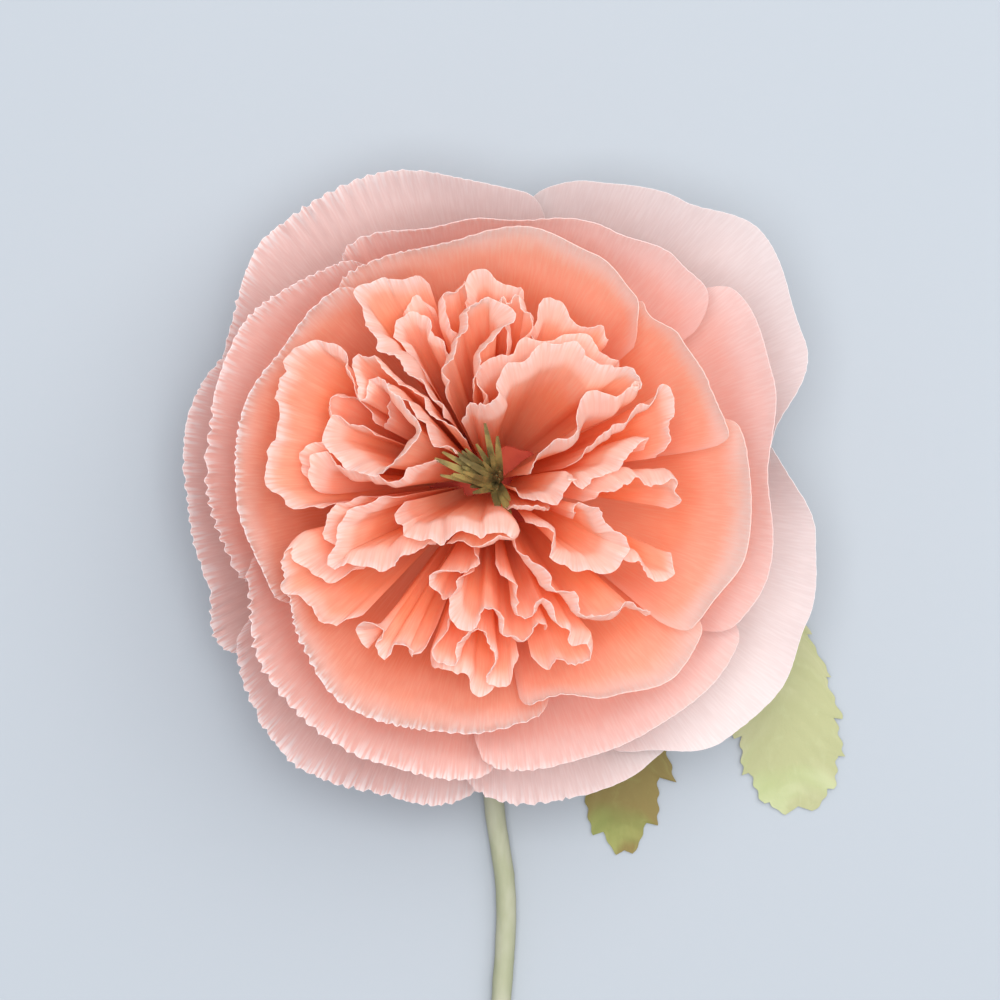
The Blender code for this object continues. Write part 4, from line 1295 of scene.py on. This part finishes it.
# The folded petals' rims as seen in the photo, in millimetres from the bloom's axis, each with its rise
# and its lips
FOLDED_PETALS = {
    "left_petal_1": (0, (-2.6, -3.2, -1.4, -0.8, -0.7, -0.9, -1.4), [
        (-27.6, 13.6), (-28.6, 17.5), (-29.6, 21.5), (-31.4, 25.4), (-35, 28.4), (-39, 25.5),
        (-41.5, 20), (-42.6, 16), (-42.4, 13), (-44, 9), (-44.6, 4), (-45.8, 0), (-43.5, -3.3),
        (-40.5, -5.4), (-35.6, -6.2)]),
    "left_petal_2": (0, (-1.8, -1.8, 1.6, -1.2, -0.8, -0.8), [
        (-25.2, 12.2), (-22.2, 14.6), (-21.6, 18), (-23.6, 21), (-25, 18.6), (-26, 16.6),
        (-26.8, 19.4), (-27.8, 23), (-26.8, 25.4), (-21, 22.8), (-16, 18.6), (-11, 13), (-6.6, 9.4)]),
    "left_petal_3": (-3, (2.2, 2.6, 2.0), [
        (-31.6, 19.6), (-34, 18.4), (-35.6, 16), (-35.2, 13), (-33.8, 11)]),
    "left_petal_4": (2, (-2.0, -3.2, -5.4, -5.2, -4.0, -2.8, -1.2), [
        (-25, 10.2), (-28.6, 11.6), (-31.2, 11.2), (-31.6, 9.4), (-29.6, 6.6), (-27, 4.2), (-23, 2),
        (-18.6, 3.2), (-15.8, 6.6), (-14.8, 10.6), (-16.4, 14), (-19.2, 16.8), (-19.2, 19),
        (-16.6, 17.4), (-13, 13.4), (-11, 9.4), (-8, 6.4)]),
    "left_petal_5": (-3, (1.8, 2.4, 2.0), [
        (-43.2, -0.5), (-41.4, 3), (-39.4, 6), (-36.6, 8.4), (-34.4, 8.6), (-33.2, 6.4), (-31, 4.6)]),
    "left_petal_6": (0, (3.4, 3.8, 3.6, 1.8, 1.0), [
        (-39.4, -3), (-37.6, -0.6), (-34.6, 1.8), (-31, 2.2), (-27, 0.8), (-22, -0.2), (-16.4, 1.6),
        (-12, 4.8)]),
    "top_petal_1": (1.5, (4.6, 5.0, 3.8, 1.4, 1.2, 1.4), [
        (-9.6, 15), (-14, 19.4), (-18.4, 24.6), (-22.6, 29.6), (-24.6, 33.6), (-24.4, 38),
        (-21.4, 40.6), (-17, 41.6), (-13.4, 44.2)]),
    "top_petal_2": (-1, (1.6, 2.0, 2.0, 1.6), [
        (-15.4, 24.4), (-18.8, 29.6), (-18.8, 32.8), (-16.2, 34.4), (-13.8, 33), (-12.2, 30.4),
        (-10, 30.4), (-9, 27.4)]),
    "top_petal_3": (-3, (1.4, 2.0), [
        (-21.6, 37), (-19, 36.2), (-15.6, 37.8), (-12.6, 40.4)]),
    "top_petal_4": (2, (-1.5, -4.4, -5.0, -1.6, 4.0, 4.4, 3.0), [
        (-11, 18.6), (-10, 22), (-8, 25.4), (-6.4, 29.8), (-3.8, 33), (-1.8, 36.2), (0.8, 35),
        (1.6, 32), (0.2, 28.4), (-3, 24.6), (-5, 21)]),
    "top_petal_5": (-2, (-1.8, -2.6, -2.4), [
        (-7.8, 31.6), (-10.2, 37.2), (-8.8, 41), (-6, 42.8), (-5, 45.6)]),
    "top_petal_6": (-3, (2.0, 2.2, 2.0), [
        (-4.2, 37), (-3.4, 40.6), (-2, 43), (1.5, 43), (5.8, 42), (8.4, 39.4)]),
    "top_petal_7": (-1, (2.2, 3.2, -3.0, -3.2, 2.6), [
        (2.8, 28), (4.4, 31), (3.8, 34.4), (2.2, 37.8), (5.6, 38), (7, 35.4), (8.8, 35.4), (8.8, 32.6),
        (7, 30.6)]),
    "upper_right_petal_1": (-1.5, (2.6, 3.6, 4.2, 3.6, 3.0), [
        (-1.2, 18.4), (-1.8, 22), (0.6, 25), (5.4, 26.6), (10, 28), (16, 28.6), (22, 27), (27, 24.8),
        (31, 24.8)]),
    "upper_right_petal_2": (-3, (2.0, 2.8, -1.6, 2.2), [
        (10.9, 31.4), (11, 34.2), (12.8, 36.4), (15.6, 36), (20, 33.2), (24.6, 31.2), (28, 34.2)]),
    "upper_right_petal_3": (2, (3.2, 4.8, 4.6, 2.8, 2.6, -2.6, -5.4, -5.6, -3.4), [
        (-6.4, 13.4), (-4.4, 15.6), (-2.6, 14.2), (0.6, 15.6), (2.6, 19.4), (6, 21.6), (10.4, 24.4),
        (15, 24), (21, 21.8), (26.5, 20.8), (30, 18.8), (29.8, 16.8), (26, 15.8), (21, 12.6),
        (16.6, 8.4), (12, 5.2), (8.6, 2)]),
    "upper_right_petal_4": (0, (1.4, 2.4, 2.6, 1.6, -3.4), [
        (18.6, 3.2), (22, 6.6), (26, 10.2), (31, 13.4), (33.6, 17.6), (36.4, 18.8), (37.4, 15),
        (39, 10), (39.8, 5.4)]),
    "right_petal_1": (1, (-3.2, -3.4, -4.0, -3.0, -2.4, -2.2), [
        (6.6, -1.8), (8.8, -4), (12.4, -3.4), (14.6, -0.8), (15.8, 1.8), (18, -0.4), (20.4, 0.6),
        (23.8, 3.8), (28, 8), (33, 9.4), (34.6, 6.6)]),
    "right_petal_2": (0.5, (-4.6, -5.4, -5.2, -4.0, -2.2), [
        (21.4, -5), (22.4, -2.4), (26, 0.8), (31, 2), (36, 0.4), (39.6, -2.4), (41.6, -6.4)]),
    "right_petal_3": (2, (-2.0, 2.2, 3.2, 3.2, 2.4, 1.6), [
        (18.4, -9.4), (17, -7.2), (18.8, -5.2), (21.4, -7.6), (23.8, -10.2), (23.6, -13.4),
        (21.6, -16.2), (18, -17.2), (14.6, -15.6), (12.8, -12.4), (11.4, -9.6), (8.4, -8.6)]),
    "right_petal_4": (-2, (1.2, 1.6, 1.0), [
        (3.6, -6.4), (6, -5.6), (9.4, -6), (12.6, -7), (14.4, -6)]),
    "right_petal_5": (-3, (-1.6, -2.2, 1.8), [
        (24.8, -15), (31, -18), (37, -20.6), (40.4, -20.6), (41.6, -17.4), (44.2, -17.2)]),
    "right_petal_6": (1, (2.0, 3.2, 4.2, 4.2, 3.6, 2.8), [
        (5.6, -13.4), (6.4, -16.8), (9.8, -18.8), (12.8, -22), (16, -25.6), (20, -28.4), (26, -28.6),
        (31, -27.2), (34.4, -30.6)]),
    "bottom_petal_1": (2, (-2.2, -3.6, -5.0, -5.0, -4.0, -2.6, -1.6, -1.2), [
        (-19.4, -5), (-18.6, -8.4), (-16.4, -10.4), (-10, -10), (-3, -9.2), (3, -8.8), (5.4, -10.8),
        (3.4, -12.4), (-1, -12.8), (-6, -13.2), (-9, -15.4)]),
    "bottom_petal_2": (-2, (2.0, -2.0, 2.2), [
        (-4, -15.6), (-2.4, -17.6), (-5, -19.4), (-9, -19.4), (-11.6, -22.2), (-10.6, -26), (-8.6, -28)]),
    "bottom_petal_3": (0.5, (-2.4, -2.0, 2.4, 2.6, -3.0), [
        (-4, -21.6), (-6.8, -23.6), (-6.4, -27), (-3.4, -28.2), (-1.2, -25.8), (1.6, -27.8),
        (4.6, -31.4), (7, -33.4), (9.6, -31), (12, -31), (13.2, -34)]),
    "bottom_petal_4": (0, (-2.2, 2.2, 2.4, -2.2, -1.4, -1.6), [
        (1.8, -20), (4.6, -22.4), (5.2, -26.4), (8, -28.2), (11, -26), (13.4, -28), (16.6, -30.4),
        (19.4, -34), (17.6, -37.4), (13.6, -40), (9.6, -41.4)]),
    "bottom_petal_5": (-1, (-2.2, 1.8, 2.2, -2.6, -1.4), [
        (-8, -31), (-10.8, -32.8), (-11.8, -36), (-10.4, -38.2), (-7.2, -36.6), (-5, -34),
        (-3.6, -31.4), (-0.6, -32.4), (0.4, -35.4), (-0.8, -39), (0.6, -42.6), (4.2, -43.4),
        (6.6, -41.6)]),
    "bottom_petal_6": (-3, (-1.6, -2.2), [
        (-15, -42.4), (-10, -41.8), (-5.6, -41.8), (-4, -44.4), (-0.6, -46), (3.6, -46)]),
    "lower_left_petal_1": (-1, (-1.0, -1.4, -1.2, -1.6, -4.4, -4.0), [
        (-31, -33), (-34, -31), (-37.6, -28.4), (-40, -23.6), (-41.8, -18.4), (-42.4, -14.4),
        (-40, -13.4), (-38, -16.6), (-34.6, -19), (-30, -20)]),
    "lower_left_petal_2": (-2, (-2.0, -2.8, -2.4), [
        (-29, -4.4), (-33, -6), (-34.6, -9), (-33.8, -12.6), (-33.4, -16)]),
    "lower_left_petal_3": (1.5, (-2.0, -2.6, -3.2, -5.4, -5.6, -4.4), [
        (-21, -4), (-25.6, -5.6), (-28, -8.2), (-28.6, -12), (-29.6, -16), (-24, -14.8), (-18, -13.4),
        (-12.4, -13)]),
    "lower_left_petal_4": (0, (3.0, 4.6, -2.4, 4.6, 3.0), [
        (-28.4, -36.6), (-26.8, -35), (-25, -33), (-22.6, -32.2), (-21.4, -35.6), (-19.6, -33.6),
        (-18, -35.6), (-16.6, -38), (-13.6, -37)]),
}

# The broad petals, each from one angle to another about the axis, in degrees from +X
CUP_PETALS = {
    "cup_petal_1": (123, 213),
    "cup_petal_2": (204, 286),
    "cup_petal_3": (277, 328),
    "cup_petal_4": (320, 376),
    "cup_petal_5": (368, 411),
    "cup_petal_6": (403, 491),
}
MIDDLE_PETALS = {
    "middle_petal_1": (119, 205),
    "middle_petal_2": (197, 274),
    "middle_petal_3": (266, 332),
    "middle_petal_4": (324, 404),
    "middle_petal_5": (396, 487),
}
GUARD_PETALS = {
    "guard_petal_1": (76, 163),
    "guard_petal_2": (151, 218),
    "guard_petal_3": (208, 272),
    "guard_petal_4": (263, 308),
    "guard_petal_5": (290, 373),
    "guard_petal_6": (361, 446),
}

# How far each row reaches at an angle, as a share of its profile's reach
CUP_REACH = [
    (6, 0.99), (24, 0.94), (37, 0.91), (46, 0.86), (52, 0.93), (65, 0.98), (79, 1.0), (99, 0.94),
    (118, 0.97), (143, 0.97), (163, 1.01), (186, 0.99), (206, 0.935), (220, 0.99), (238, 1.03),
    (264, 0.98), (288, 0.9), (300, 0.955), (314, 1.03), (331, 1.01), (343, 1.05),
]
MIDDLE_REACH = [
    (0, 0.965), (20, 1.03), (39, 1.1), (50, 1.05), (64, 0.985), (90, 0.895), (103, 0.87), (123, 0.95),
    (148, 1.03), (180, 0.98), (197, 0.945), (222, 1.04), (250, 1.05), (290, 1.04), (335, 1.04),
]
GUARD_REACH = [
    (9, 0.94), (24, 1.1), (43, 1.175), (56, 1.08), (71, 1.01), (86, 0.985), (104, 1.045), (131, 1.05),
    (151, 0.965), (187, 0.945), (200, 0.945), (212, 1.035), (235, 1.085), (252, 1.045), (270, 1.02),
    (299, 1.025), (312, 1.12), (324, 1.135), (336, 1.095), (350, 1.02),
]

# The finishes: the crepe's four colours run from the cut rim down, the deepest partly painted shade, with the
# reach in centimetres, and each has a painted shade for the left side
FOLDED_CREPE = Crepe(
    "folded_crepe_paper",
    (0.98, 0.87, 0.81), (0.98, 0.78, 0.69), (1.0, 0.65, 0.49), (1.0, 0.56, 0.34), 2.3,
    shade=(1.0, 0.97, 0.96), shine_through=0.72, pleats=0.4, rim=(0.65, 0.55),
)
CUP_CREPE = Crepe(
    "cup_crepe_paper",
    (0.96, 0.90, 0.86), (0.99, 0.80, 0.72), (0.99, 0.66, 0.51), (0.98, 0.53, 0.34), 3.2,
    shade=(0.91, 0.80, 0.77), shine_through=0.6, pleats=0.75, rim=(0.95, 0.15),
)
MIDDLE_CREPE = Crepe(
    "middle_crepe_paper",
    (0.93, 0.88, 0.86), (0.91, 0.74, 0.70), (0.93, 0.67, 0.60), (0.95, 0.56, 0.45), 4.2,
    shade=(1.0, 0.90, 0.86), shine_through=0.45, pleats=0.8, rim=(0.95, 0.12),
)
GUARD_CREPE = Crepe(
    "guard_crepe_paper",
    (0.87, 0.83, 0.82), (0.86, 0.79, 0.77), (0.87, 0.78, 0.75), (0.89, 0.74, 0.68), 5.0,
    shade=(1.0, 0.81, 0.77), shine_through=0.35, pleats=0.8, rim=(0.8, 0.1),
)
BALL_PAPER = Plain(
    "ball_crepe_paper", (0.50, 0.055, 0.03), (0.64, 0.10, 0.05), stretch=(1.0, 1.0, 0.3)
)
STEM_PAPER = Plain(
    "stem_crepe_paper", (0.30, 0.31, 0.19), (0.36, 0.36, 0.25), 160.0, 0.7, stretch=(1.0, 0.35, 1.0)
)
OLIVE_PAPER = Plain(
    "olive_crepe_paper", (0.11, 0.078, 0.018), (0.26, 0.19, 0.05), 260.0, 0.75, stretch=(1.0, 1.0, 0.3)
)
WIRE = Plain("wire_bare_steel", (0.50, 0.50, 0.51), (0.60, 0.60, 0.61), 900.0, 0.35, 1.0, bump=0.02)
NEAR_LEAF = LeafPaper("near_leaf_paper", (0.16, 0.18, 0.035), (0.27, 0.27, 0.075), (0.20, 0.12, 0.03), 0.7)
FAR_LEAF = LeafPaper("far_leaf_paper", (0.33, 0.37, 0.16), (0.42, 0.44, 0.24), (0.36, 0.31, 0.18), 0.4)
FLOOR_COLOUR = (0.374, 0.402, 0.426)

CUP_ROW = Row(
    0.8, 51.6, [(0.2, -0.02), (0.5, 0.18), (0.77, 0.5), (0.94, 0.8), (1.0, 0.97)], BALL_TOP_Z, ROSETTE_HEIGHT,
    CUP_REACH,
)
MIDDLE_ROW = Row(
    0.48, 58.4, [(0.225, -0.19), (0.54, -0.08), (0.79, 0.2), (0.93, 0.48), (1.0, 0.65)], BALL_TOP_Z,
    ROSETTE_HEIGHT, MIDDLE_REACH,
)
GUARD_ROW = Row(
    0.16, 67.6, [(0.2, 0.34), (0.44, 0.005), (0.66, 0.17), (0.85, 0.62), (1.0, 1.05)], PAPER / 2, BALL_TOP_Z,
    GUARD_REACH,
)


def rings_along(line: np.ndarray, radius: np.ndarray, sides: int) -> np.ndarray:
    """Lays rings of points around a line.

    Args:
        line: The middle line's points.
        radius: The radius at each point.
        sides: How many points go round.

    Returns:
        The points by [ring][around], the first place of each ring repeated last.
    """
    run = np.gradient(line, axis=0)
    run /= np.linalg.norm(run, axis=1)[:, None]
    side = np.zeros_like(run)
    across = np.array([1.0, 0.0, 0.0])
    for k, ahead in enumerate(run):
        across = across - ahead * (across @ ahead)
        across /= np.linalg.norm(across)
        side[k] = across
    up = np.cross(run, side)
    turn = np.linspace(0, 2 * math.pi, sides + 1)
    ring = side[:, None, :] * np.cos(turn)[None, :, None] + up[:, None, :] * np.sin(turn)[None, :, None]
    return line[:, None, :] + ring * radius[:, None, None]


@dataclass
class Stem:
    """The paper-wrapped stem, which turns off the bloom's axis and lies along the surface.

    Attributes:
        route: Where it runs, as (x, distance past the bend's end).
        bend: The bend's radius.
        taped_from: Where the tape starts along the run.
        taped_to: Where it ends.
    """

    route: Outline = field(
        default_factory=lambda: [
            (0, 0), (0, 35), (0.6, 59), (3.3, 80), (2.3, 102), (0, 130), (0, 158), (0, 180)
        ]
    )
    bend: float = 9.1
    taped_from: float = 31.0
    taped_to: float = 43.0

    def line(self) -> np.ndarray:
        """Draws the middle line, from under the bloom to the cut end.

        Returns:
            Its points.
        """
        line = []
        for turn in np.linspace(0, math.pi / 2, 16):
            line.append((0, -self.bend * (1 - math.cos(turn)), STEM_Z + self.bend * (1 - math.sin(turn))))
        run = even(smooth_line(self.route), 1.2)[1:]
        settle = smoothstep((run[:, 1] - self.taped_to) / 60)
        height = STEM_Z - (STEM_Z - STEM_RADIUS) * settle
        line += [(x, -self.bend - y, z) for (x, y), z in zip(run, height)]
        return np.array(line)

    def build(self, bench: Workbench, material: bpy.types.Material) -> None:
        """Makes the wrapping, with the ridge that its spiral strip leaves.

        Args:
            bench: What makes the piece.
            material: Its paper.
        """
        line = self.line()
        along = run_lengths(line)
        noise = Ripple(11)
        rings = rings_along(line, np.full(len(line), STEM_RADIUS - 0.12), 28)
        centre = line[:, None, :]
        around = np.linspace(0, 1, rings.shape[1])[None, :]
        strip = (along[:, None] / 9.0 + around) % 1
        ridge = 0.12 * np.exp(-strip / 0.06) + 0.05 * noise.waver(along, 4)[:, None]
        out = rings - centre
        rings = rings + out / np.linalg.norm(out, axis=2, keepdims=True) * ridge[..., None]
        rings[:, -1] = rings[:, 0]
        piece = bench.rod("stem_wrap_paper", rings, material)
        stand_for(piece, "stem_wrap")


@dataclass
class Tuft:
    """The fringe of flat olive strips in the middle of the bloom.

    Attributes:
        base: The height that the core stands on.
        core_height: How tall the rolled core is.
        core_radius: Its radius.
        strips: Each strip's root as (x, y), its heading and lean in degrees, its length and its width.
    """

    base: float = BALL_TOP_Z + SEAT_GAP
    core_height: float = 17.0
    core_radius: float = 1.35
    strips: list[tuple[float, float, float, float, float, float]] = field(
        default_factory=lambda: [
            (2.0, -0.8, 153, 77, 22.5, 2.3), (1.4, 0.0, 147, 72, 21.0, 2.0), (1.8, -1.2, 159, 68, 20.5, 2.2),
            (0.8, -0.8, 165, 76, 18.5, 1.8), (0.8, 0.6, 141, 80, 20.0, 1.5), (1.6, 0.8, 98, 68, 22.0, 2.1),
            (1.9, 0.4, 118, 46, 19.0, 1.8), (1.8, 0.0, 100, 30, 16.0, 1.7), (1.2, -1.2, 287, 56, 16.5, 2.5),
            (0.4, -1.2, 190, 40, 15.0, 1.9), (0.0, 0.2, 168, 50, 18.0, 2.1), (0.4, 0.8, 131, 44, 18.0, 1.8),
            (-0.4, -0.4, 152, 36, 17.5, 2.0), (1.0, -0.4, 60, 14, 13.5, 1.6), (1.4, -0.8, 300, 26, 14.0, 1.9),
            (0.9, -0.2, 156, 58, 19.5, 1.9),
        ]
    )

    def strip(self, index: int, half_way: int) -> Sheet:
        """Shapes one of the two blades that a strip is cut into, leaning out and curling a little.

        Args:
            index: The strip's place in the list.
            half_way: -1 for its right blade and 1 for its left.

        Returns:
            The blade's middle surface.
        """
        x, y, heading, lean, length, width = self.strips[index]
        turn = math.radians(heading + 3.5 * half_way)
        x -= 0.22 * width * half_way * math.sin(turn)
        y += 0.22 * width * half_way * math.cos(turn)
        lean, length, width = lean + 4.0 * half_way, length * (0.93 + 0.07 * half_way), 0.62 * width
        out = np.array([math.cos(turn), math.sin(turn), 0])
        noise = Ripple(300 + index + 40 * half_way)
        part = np.linspace(0, 1, 16)
        tilt = np.radians(lean) * part**1.1 + 0.15 * noise.waver(part * 10, 4)
        step = length / (len(part) - 1)
        away = step * np.r_[0, np.cumsum(np.sin(tilt[:-1]))]
        high = self.base + self.core_height - 2.5 + step * np.r_[0, np.cumsum(np.cos(tilt[:-1]))]
        middle = np.array([x, y, 0.0]) + out[None, :] * away[:, None]
        middle[:, 2] = high
        twist = turn + math.pi / 2 + 0.6 * noise.waver(part * 10 + 2, 7) * part
        side = np.column_stack([np.cos(twist), np.sin(twist), 0.25 * np.sin(3 * part + index)])
        half = width / 2 * (0.75 + 0.35 * np.sin(np.pi * part * 0.8)) * (1 - 0.6 * part**7)
        share = np.linspace(-1, 1, 6)
        points = middle[None, :, :] + side[None, :, :] * (share[:, None] * half[None, :])[..., None]
        return Sheet(points, 0.14)

    def build(self, bench: Workbench, material: bpy.types.Material) -> None:
        """Makes the core and its strips as one piece.

        Args:
            bench: What makes the piece.
            material: Its paper.
        """
        heights = self.base + self.core_height * np.linspace(0, 1, 8)
        line = np.column_stack([np.zeros(8), np.zeros(8), heights])
        core = bench.rod("stamen_core", rings_along(line, np.full(8, self.core_radius), 20), material)
        parts = [core]
        for index in range(len(self.strips)):
            for half_way in (-1, 1):
                blade = self.strip(index, half_way)
                parts.append(bench.paper(f"stamen_strip_{len(parts)}", blade, material))
        stand_for(bench.join("stamen_tuft_paper", parts), "stamen_tuft")


@dataclass(frozen=True)
class Leaf:
    """One toothed leaf, from on top of the stalk down to the surface.

    Attributes:
        name: Its solid's name.
        base: Where it starts.
        tip: Where it ends.
        width: How wide it is.
        teeth: How many teeth each side has.
        bite: How deep the teeth are, as a share of the half width.
        late: How near to the tip it is widest.
        taper: How sharply it narrows to the tip.
    """

    name: str
    base: tuple[float, float]
    tip: tuple[float, float]
    width: float
    teeth: int
    bite: float
    late: float
    taper: float

    def sheet(self) -> Sheet:
        """Shapes the leaf, with teeth, side veins and a fold along its rib.

        Returns:
            Its middle surface.
        """
        base = np.array(self.base, float)
        along = np.array(self.tip, float) - base
        length = float(np.linalg.norm(along))
        along /= length
        side = np.array([-along[1], along[0]])
        noise = Ripple(len(self.name) * 7)
        low = LEAF_THICKNESS / 2
        high = 2 * STALK_RADIUS + SEAT_GAP + low
        part = np.linspace(0, 1, 121)
        share = np.linspace(-1, 1, 41)
        round_edge = np.sin(math.pi * (0.04 + 0.93 * part**self.late)) ** self.taper
        rib = low + (high - low) * (1 - part) ** 1.4 + PETAL_CLEARANCE * np.sin(math.pi * part) * part
        points = np.zeros((len(share), len(part), 3))
        for i, across in enumerate(share):
            offset = 0.5 if across > 0 else 0.0
            saw = (part * (self.teeth + 0.6) + 0.3 * offset) % 1
            tooth = 1 + self.bite * (saw**1.6 - 0.5) * (part > 0.06) * (part < 0.985)
            tooth = tooth + 0.03 * np.sin(part * 90 + 4 * offset)
            half = self.width / 2 * round_edge * (1 + (tooth - 1) * abs(across) ** 3)
            droop = 0.8 * (rib - low) * abs(across) ** 1.5 * np.minimum(1, 6 * part)
            sweep = 0.5 * half * abs(across)
            place = base + along * (length * part + sweep)[:, None] + side * (half * across)[:, None]
            vein = 0.25 * np.sin(2 * math.pi * (part * 9 - abs(across) * 1.6))
            vein = vein * abs(across) * (1 - abs(across))
            wave = 0.35 * noise.waver(part * length + 20 * across + 30, 7) * abs(across) ** 2
            z = np.maximum(rib - droop + vein + np.maximum(wave, 0), low)
            points[i] = np.column_stack([place, z])
        return Sheet(points, LEAF_THICKNESS)


@dataclass
class LeafSpray:
    """The stalk with its leaves, and the tape that binds it to the stem.

    Attributes:
        leaves: The leaves.
        route: Where the stalk runs after the tape.
        taped_from: Where the tape starts, past the stem's bend.
        taped_length: How long the tape is.
        bend: The stem's bend radius.
    """

    leaves: tuple[Leaf, ...] = (
        Leaf("leaf_near", (25.5, -27.5), (28.8, -79.5), 23.0, 4, 0.36, 0.8, 0.8),
        Leaf("leaf_far", (60.0, -23.0), (66.3, -70.0), 22.5, 5, 0.15, 1.1, 0.58),
    )
    route: Outline = field(default_factory=lambda: [(11, -23.5), (24, -26), (42, -27.5), (61, -22)])
    taped_from: float = 31.0
    taped_length: float = 12.0
    bend: float = 9.1

    def stalk(self) -> np.ndarray:
        """Draws the stalk's middle line.

        Returns:
            Its points, from under the tape to the far leaf.
        """
        beside = STEM_RADIUS + SEAT_GAP + STALK_RADIUS
        start = self.bend + self.taped_from
        line = [(beside, -start - self.taped_length - 1.0, STEM_Z), (beside, -start + 1.0, STEM_Z)]
        line += [(x, y, STALK_RADIUS) for x, y in self.route]
        smooth = smooth_line(line, 4)
        smooth[:, 2] = np.maximum(smooth[:, 2], STALK_RADIUS)
        smooth[:5, 0] = beside
        return even(smooth_line(smooth, 4), 0.9)

    def build(
        self, bench: Workbench, stalk_paper: bpy.types.Material, papers: tuple[bpy.types.Material, ...]
    ) -> None:
        """Makes the stalk and the leaves.

        Args:
            bench: What makes the pieces.
            stalk_paper: The stalk's finish.
            papers: Each leaf's finish.
        """
        line = self.stalk()
        radius = STALK_RADIUS * (0.96 + 0.04 * Ripple(5).waver(run_lengths(line), 3))
        piece = bench.rod("leaf_stalk_paper", rings_along(line, radius, 16), stalk_paper)
        stand_for(piece, "leaf_stalk")
        for leaf, paper in zip(self.leaves, papers):
            stand_for(bench.paper(f"{leaf.name}_paper", leaf.sheet(), paper), leaf.name)


@dataclass
class Studio:
    """The floor, the lights and the camera, straight above the bloom.

    Attributes:
        bloom: Where the bloom's axis meets the surface, in metres.
        distance: How far the camera is above the rims.
        rims: How high the rims are.
        lens: The camera's focal length, in millimetres on a 36 mm sensor.
    """

    bloom: Vector
    distance: float = 0.8
    rims: float = 0.0625
    lens: float = 144.0

    def floor(self) -> None:
        """Lays a pale blue-grey floor."""
        bpy.ops.object.select_all(action="DESELECT")
        bpy.ops.mesh.primitive_plane_add(size=6, location=(0, 0, -0.0002))
        floor = bpy.context.active_object
        floor.name = "floor"
        tree = new_tree("floor_paper")
        tree.shade({"Roughness": 0.9, "Specular IOR Level": 0.1, "Base Color": (*FLOOR_COLOUR, 1)})
        floor.data.materials.append(tree.material)

    def light(
        self, name: str, offset: tuple[float, float, float], size: float, power: float, tint: Colour
    ) -> None:
        """Adds a soft square light that looks at the bloom.

        Args:
            name: The light's name.
            offset: Where it hangs, from the place where the bloom's axis meets the surface, in metres.
            size: The length of its sides, in metres.
            power: Its power in watts.
            tint: Its colour.
        """
        lamp = bpy.data.lights.new(name, "AREA")
        lamp.size = size
        lamp.energy = power
        lamp.color = tint
        holder = bpy.data.objects.new(name, lamp)
        bpy.context.scene.collection.objects.link(holder)
        holder.location = self.bloom + Vector(offset)
        aim = self.bloom + Vector((0, 0, self.rims / 2)) - holder.location
        holder.rotation_euler = aim.to_track_quat("-Z", "Y").to_euler()

    def camera(self) -> None:
        """Sets the camera straight above the bloom."""
        data = bpy.data.cameras.new("camera")
        data.lens = self.lens
        data.sensor_width = 36
        camera = bpy.data.objects.new("camera", data)
        bpy.context.scene.collection.objects.link(camera)
        camera.location = self.bloom + Vector((0.002, -0.004, self.rims + self.distance))
        bpy.context.scene.camera = camera

    def build(self) -> None:
        """Sets up the whole studio."""
        scene = bpy.context.scene
        self.floor()
        self.light("window", (0.5, 0.42, 1.2), 1.3, 13.0, (1.0, 0.985, 0.97))
        self.light("ceiling", (-0.05, 0.0, 1.8), 1.1, 26.6, (0.97, 0.98, 1.0))
        self.camera()
        world = bpy.data.worlds.new("room")
        world.use_nodes = True
        backdrop = world.node_tree.nodes["Background"]
        backdrop.inputs["Color"].default_value = (0.84, 0.89, 1.0, 1)
        backdrop.inputs["Strength"].default_value = 0.64
        scene.world = world
        # Two lamps and a plain world need no light tree, and the same picture renders faster without it
        scene.cycles.use_light_tree = False
        scene.cycles.max_bounces = 12
        scene.cycles.diffuse_bounces = 9
        scene.cycles.transmission_bounces = 9
        scene.view_settings.view_transform = "Standard"


def main() -> None:
    """Builds the rose and its studio."""
    logging.basicConfig(level=logging.INFO)
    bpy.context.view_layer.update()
    low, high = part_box("paper_ball")
    bloom = Vector(((low.x + high.x) / 2, (low.y + high.y) / 2, 0))
    bench = Workbench(bloom)
    folded = FOLDED_CREPE.build(bloom)
    cup = CUP_CREPE.build(bloom)
    middle = MIDDLE_CREPE.build(bloom)
    guard = GUARD_CREPE.build(bloom)
    Rosette([FoldedPetal(name, *values) for name, values in FOLDED_PETALS.items()]).build(bench, folded)
    rows = BroadRows((CUP_ROW, MIDDLE_ROW, GUARD_ROW))
    rows.build(bench, 1, CUP_PETALS, Frill(0.35, 0.35, 6.0, 0.3, 0.9), cup, Slot.CUP)
    rows.build(bench, 2, MIDDLE_PETALS, Frill(0.35, 0.5, 7.0, 0.32, 1.1), middle, Slot.OUTER)
    rows.build(bench, 3, GUARD_PETALS, Frill(0.35, 0.6, 7.0, 0.35, 1.4), guard, Slot.OUTER)
    green = STEM_PAPER.build()
    Stem().build(bench, green)
    Tuft().build(bench, OLIVE_PAPER.build())
    LeafSpray().build(bench, green, (NEAR_LEAF.build(), FAR_LEAF.build()))
    for node, finish in (
        ("paper_ball", BALL_PAPER.build()), ("hip", green), ("calyx", green), ("binding_tape", green),
        ("stem_wire", WIRE.build()),
    ):
        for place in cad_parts[node].material_slots:
            place.material = finish
    Studio(bloom).build()


if __name__ == "__main__":
    main()
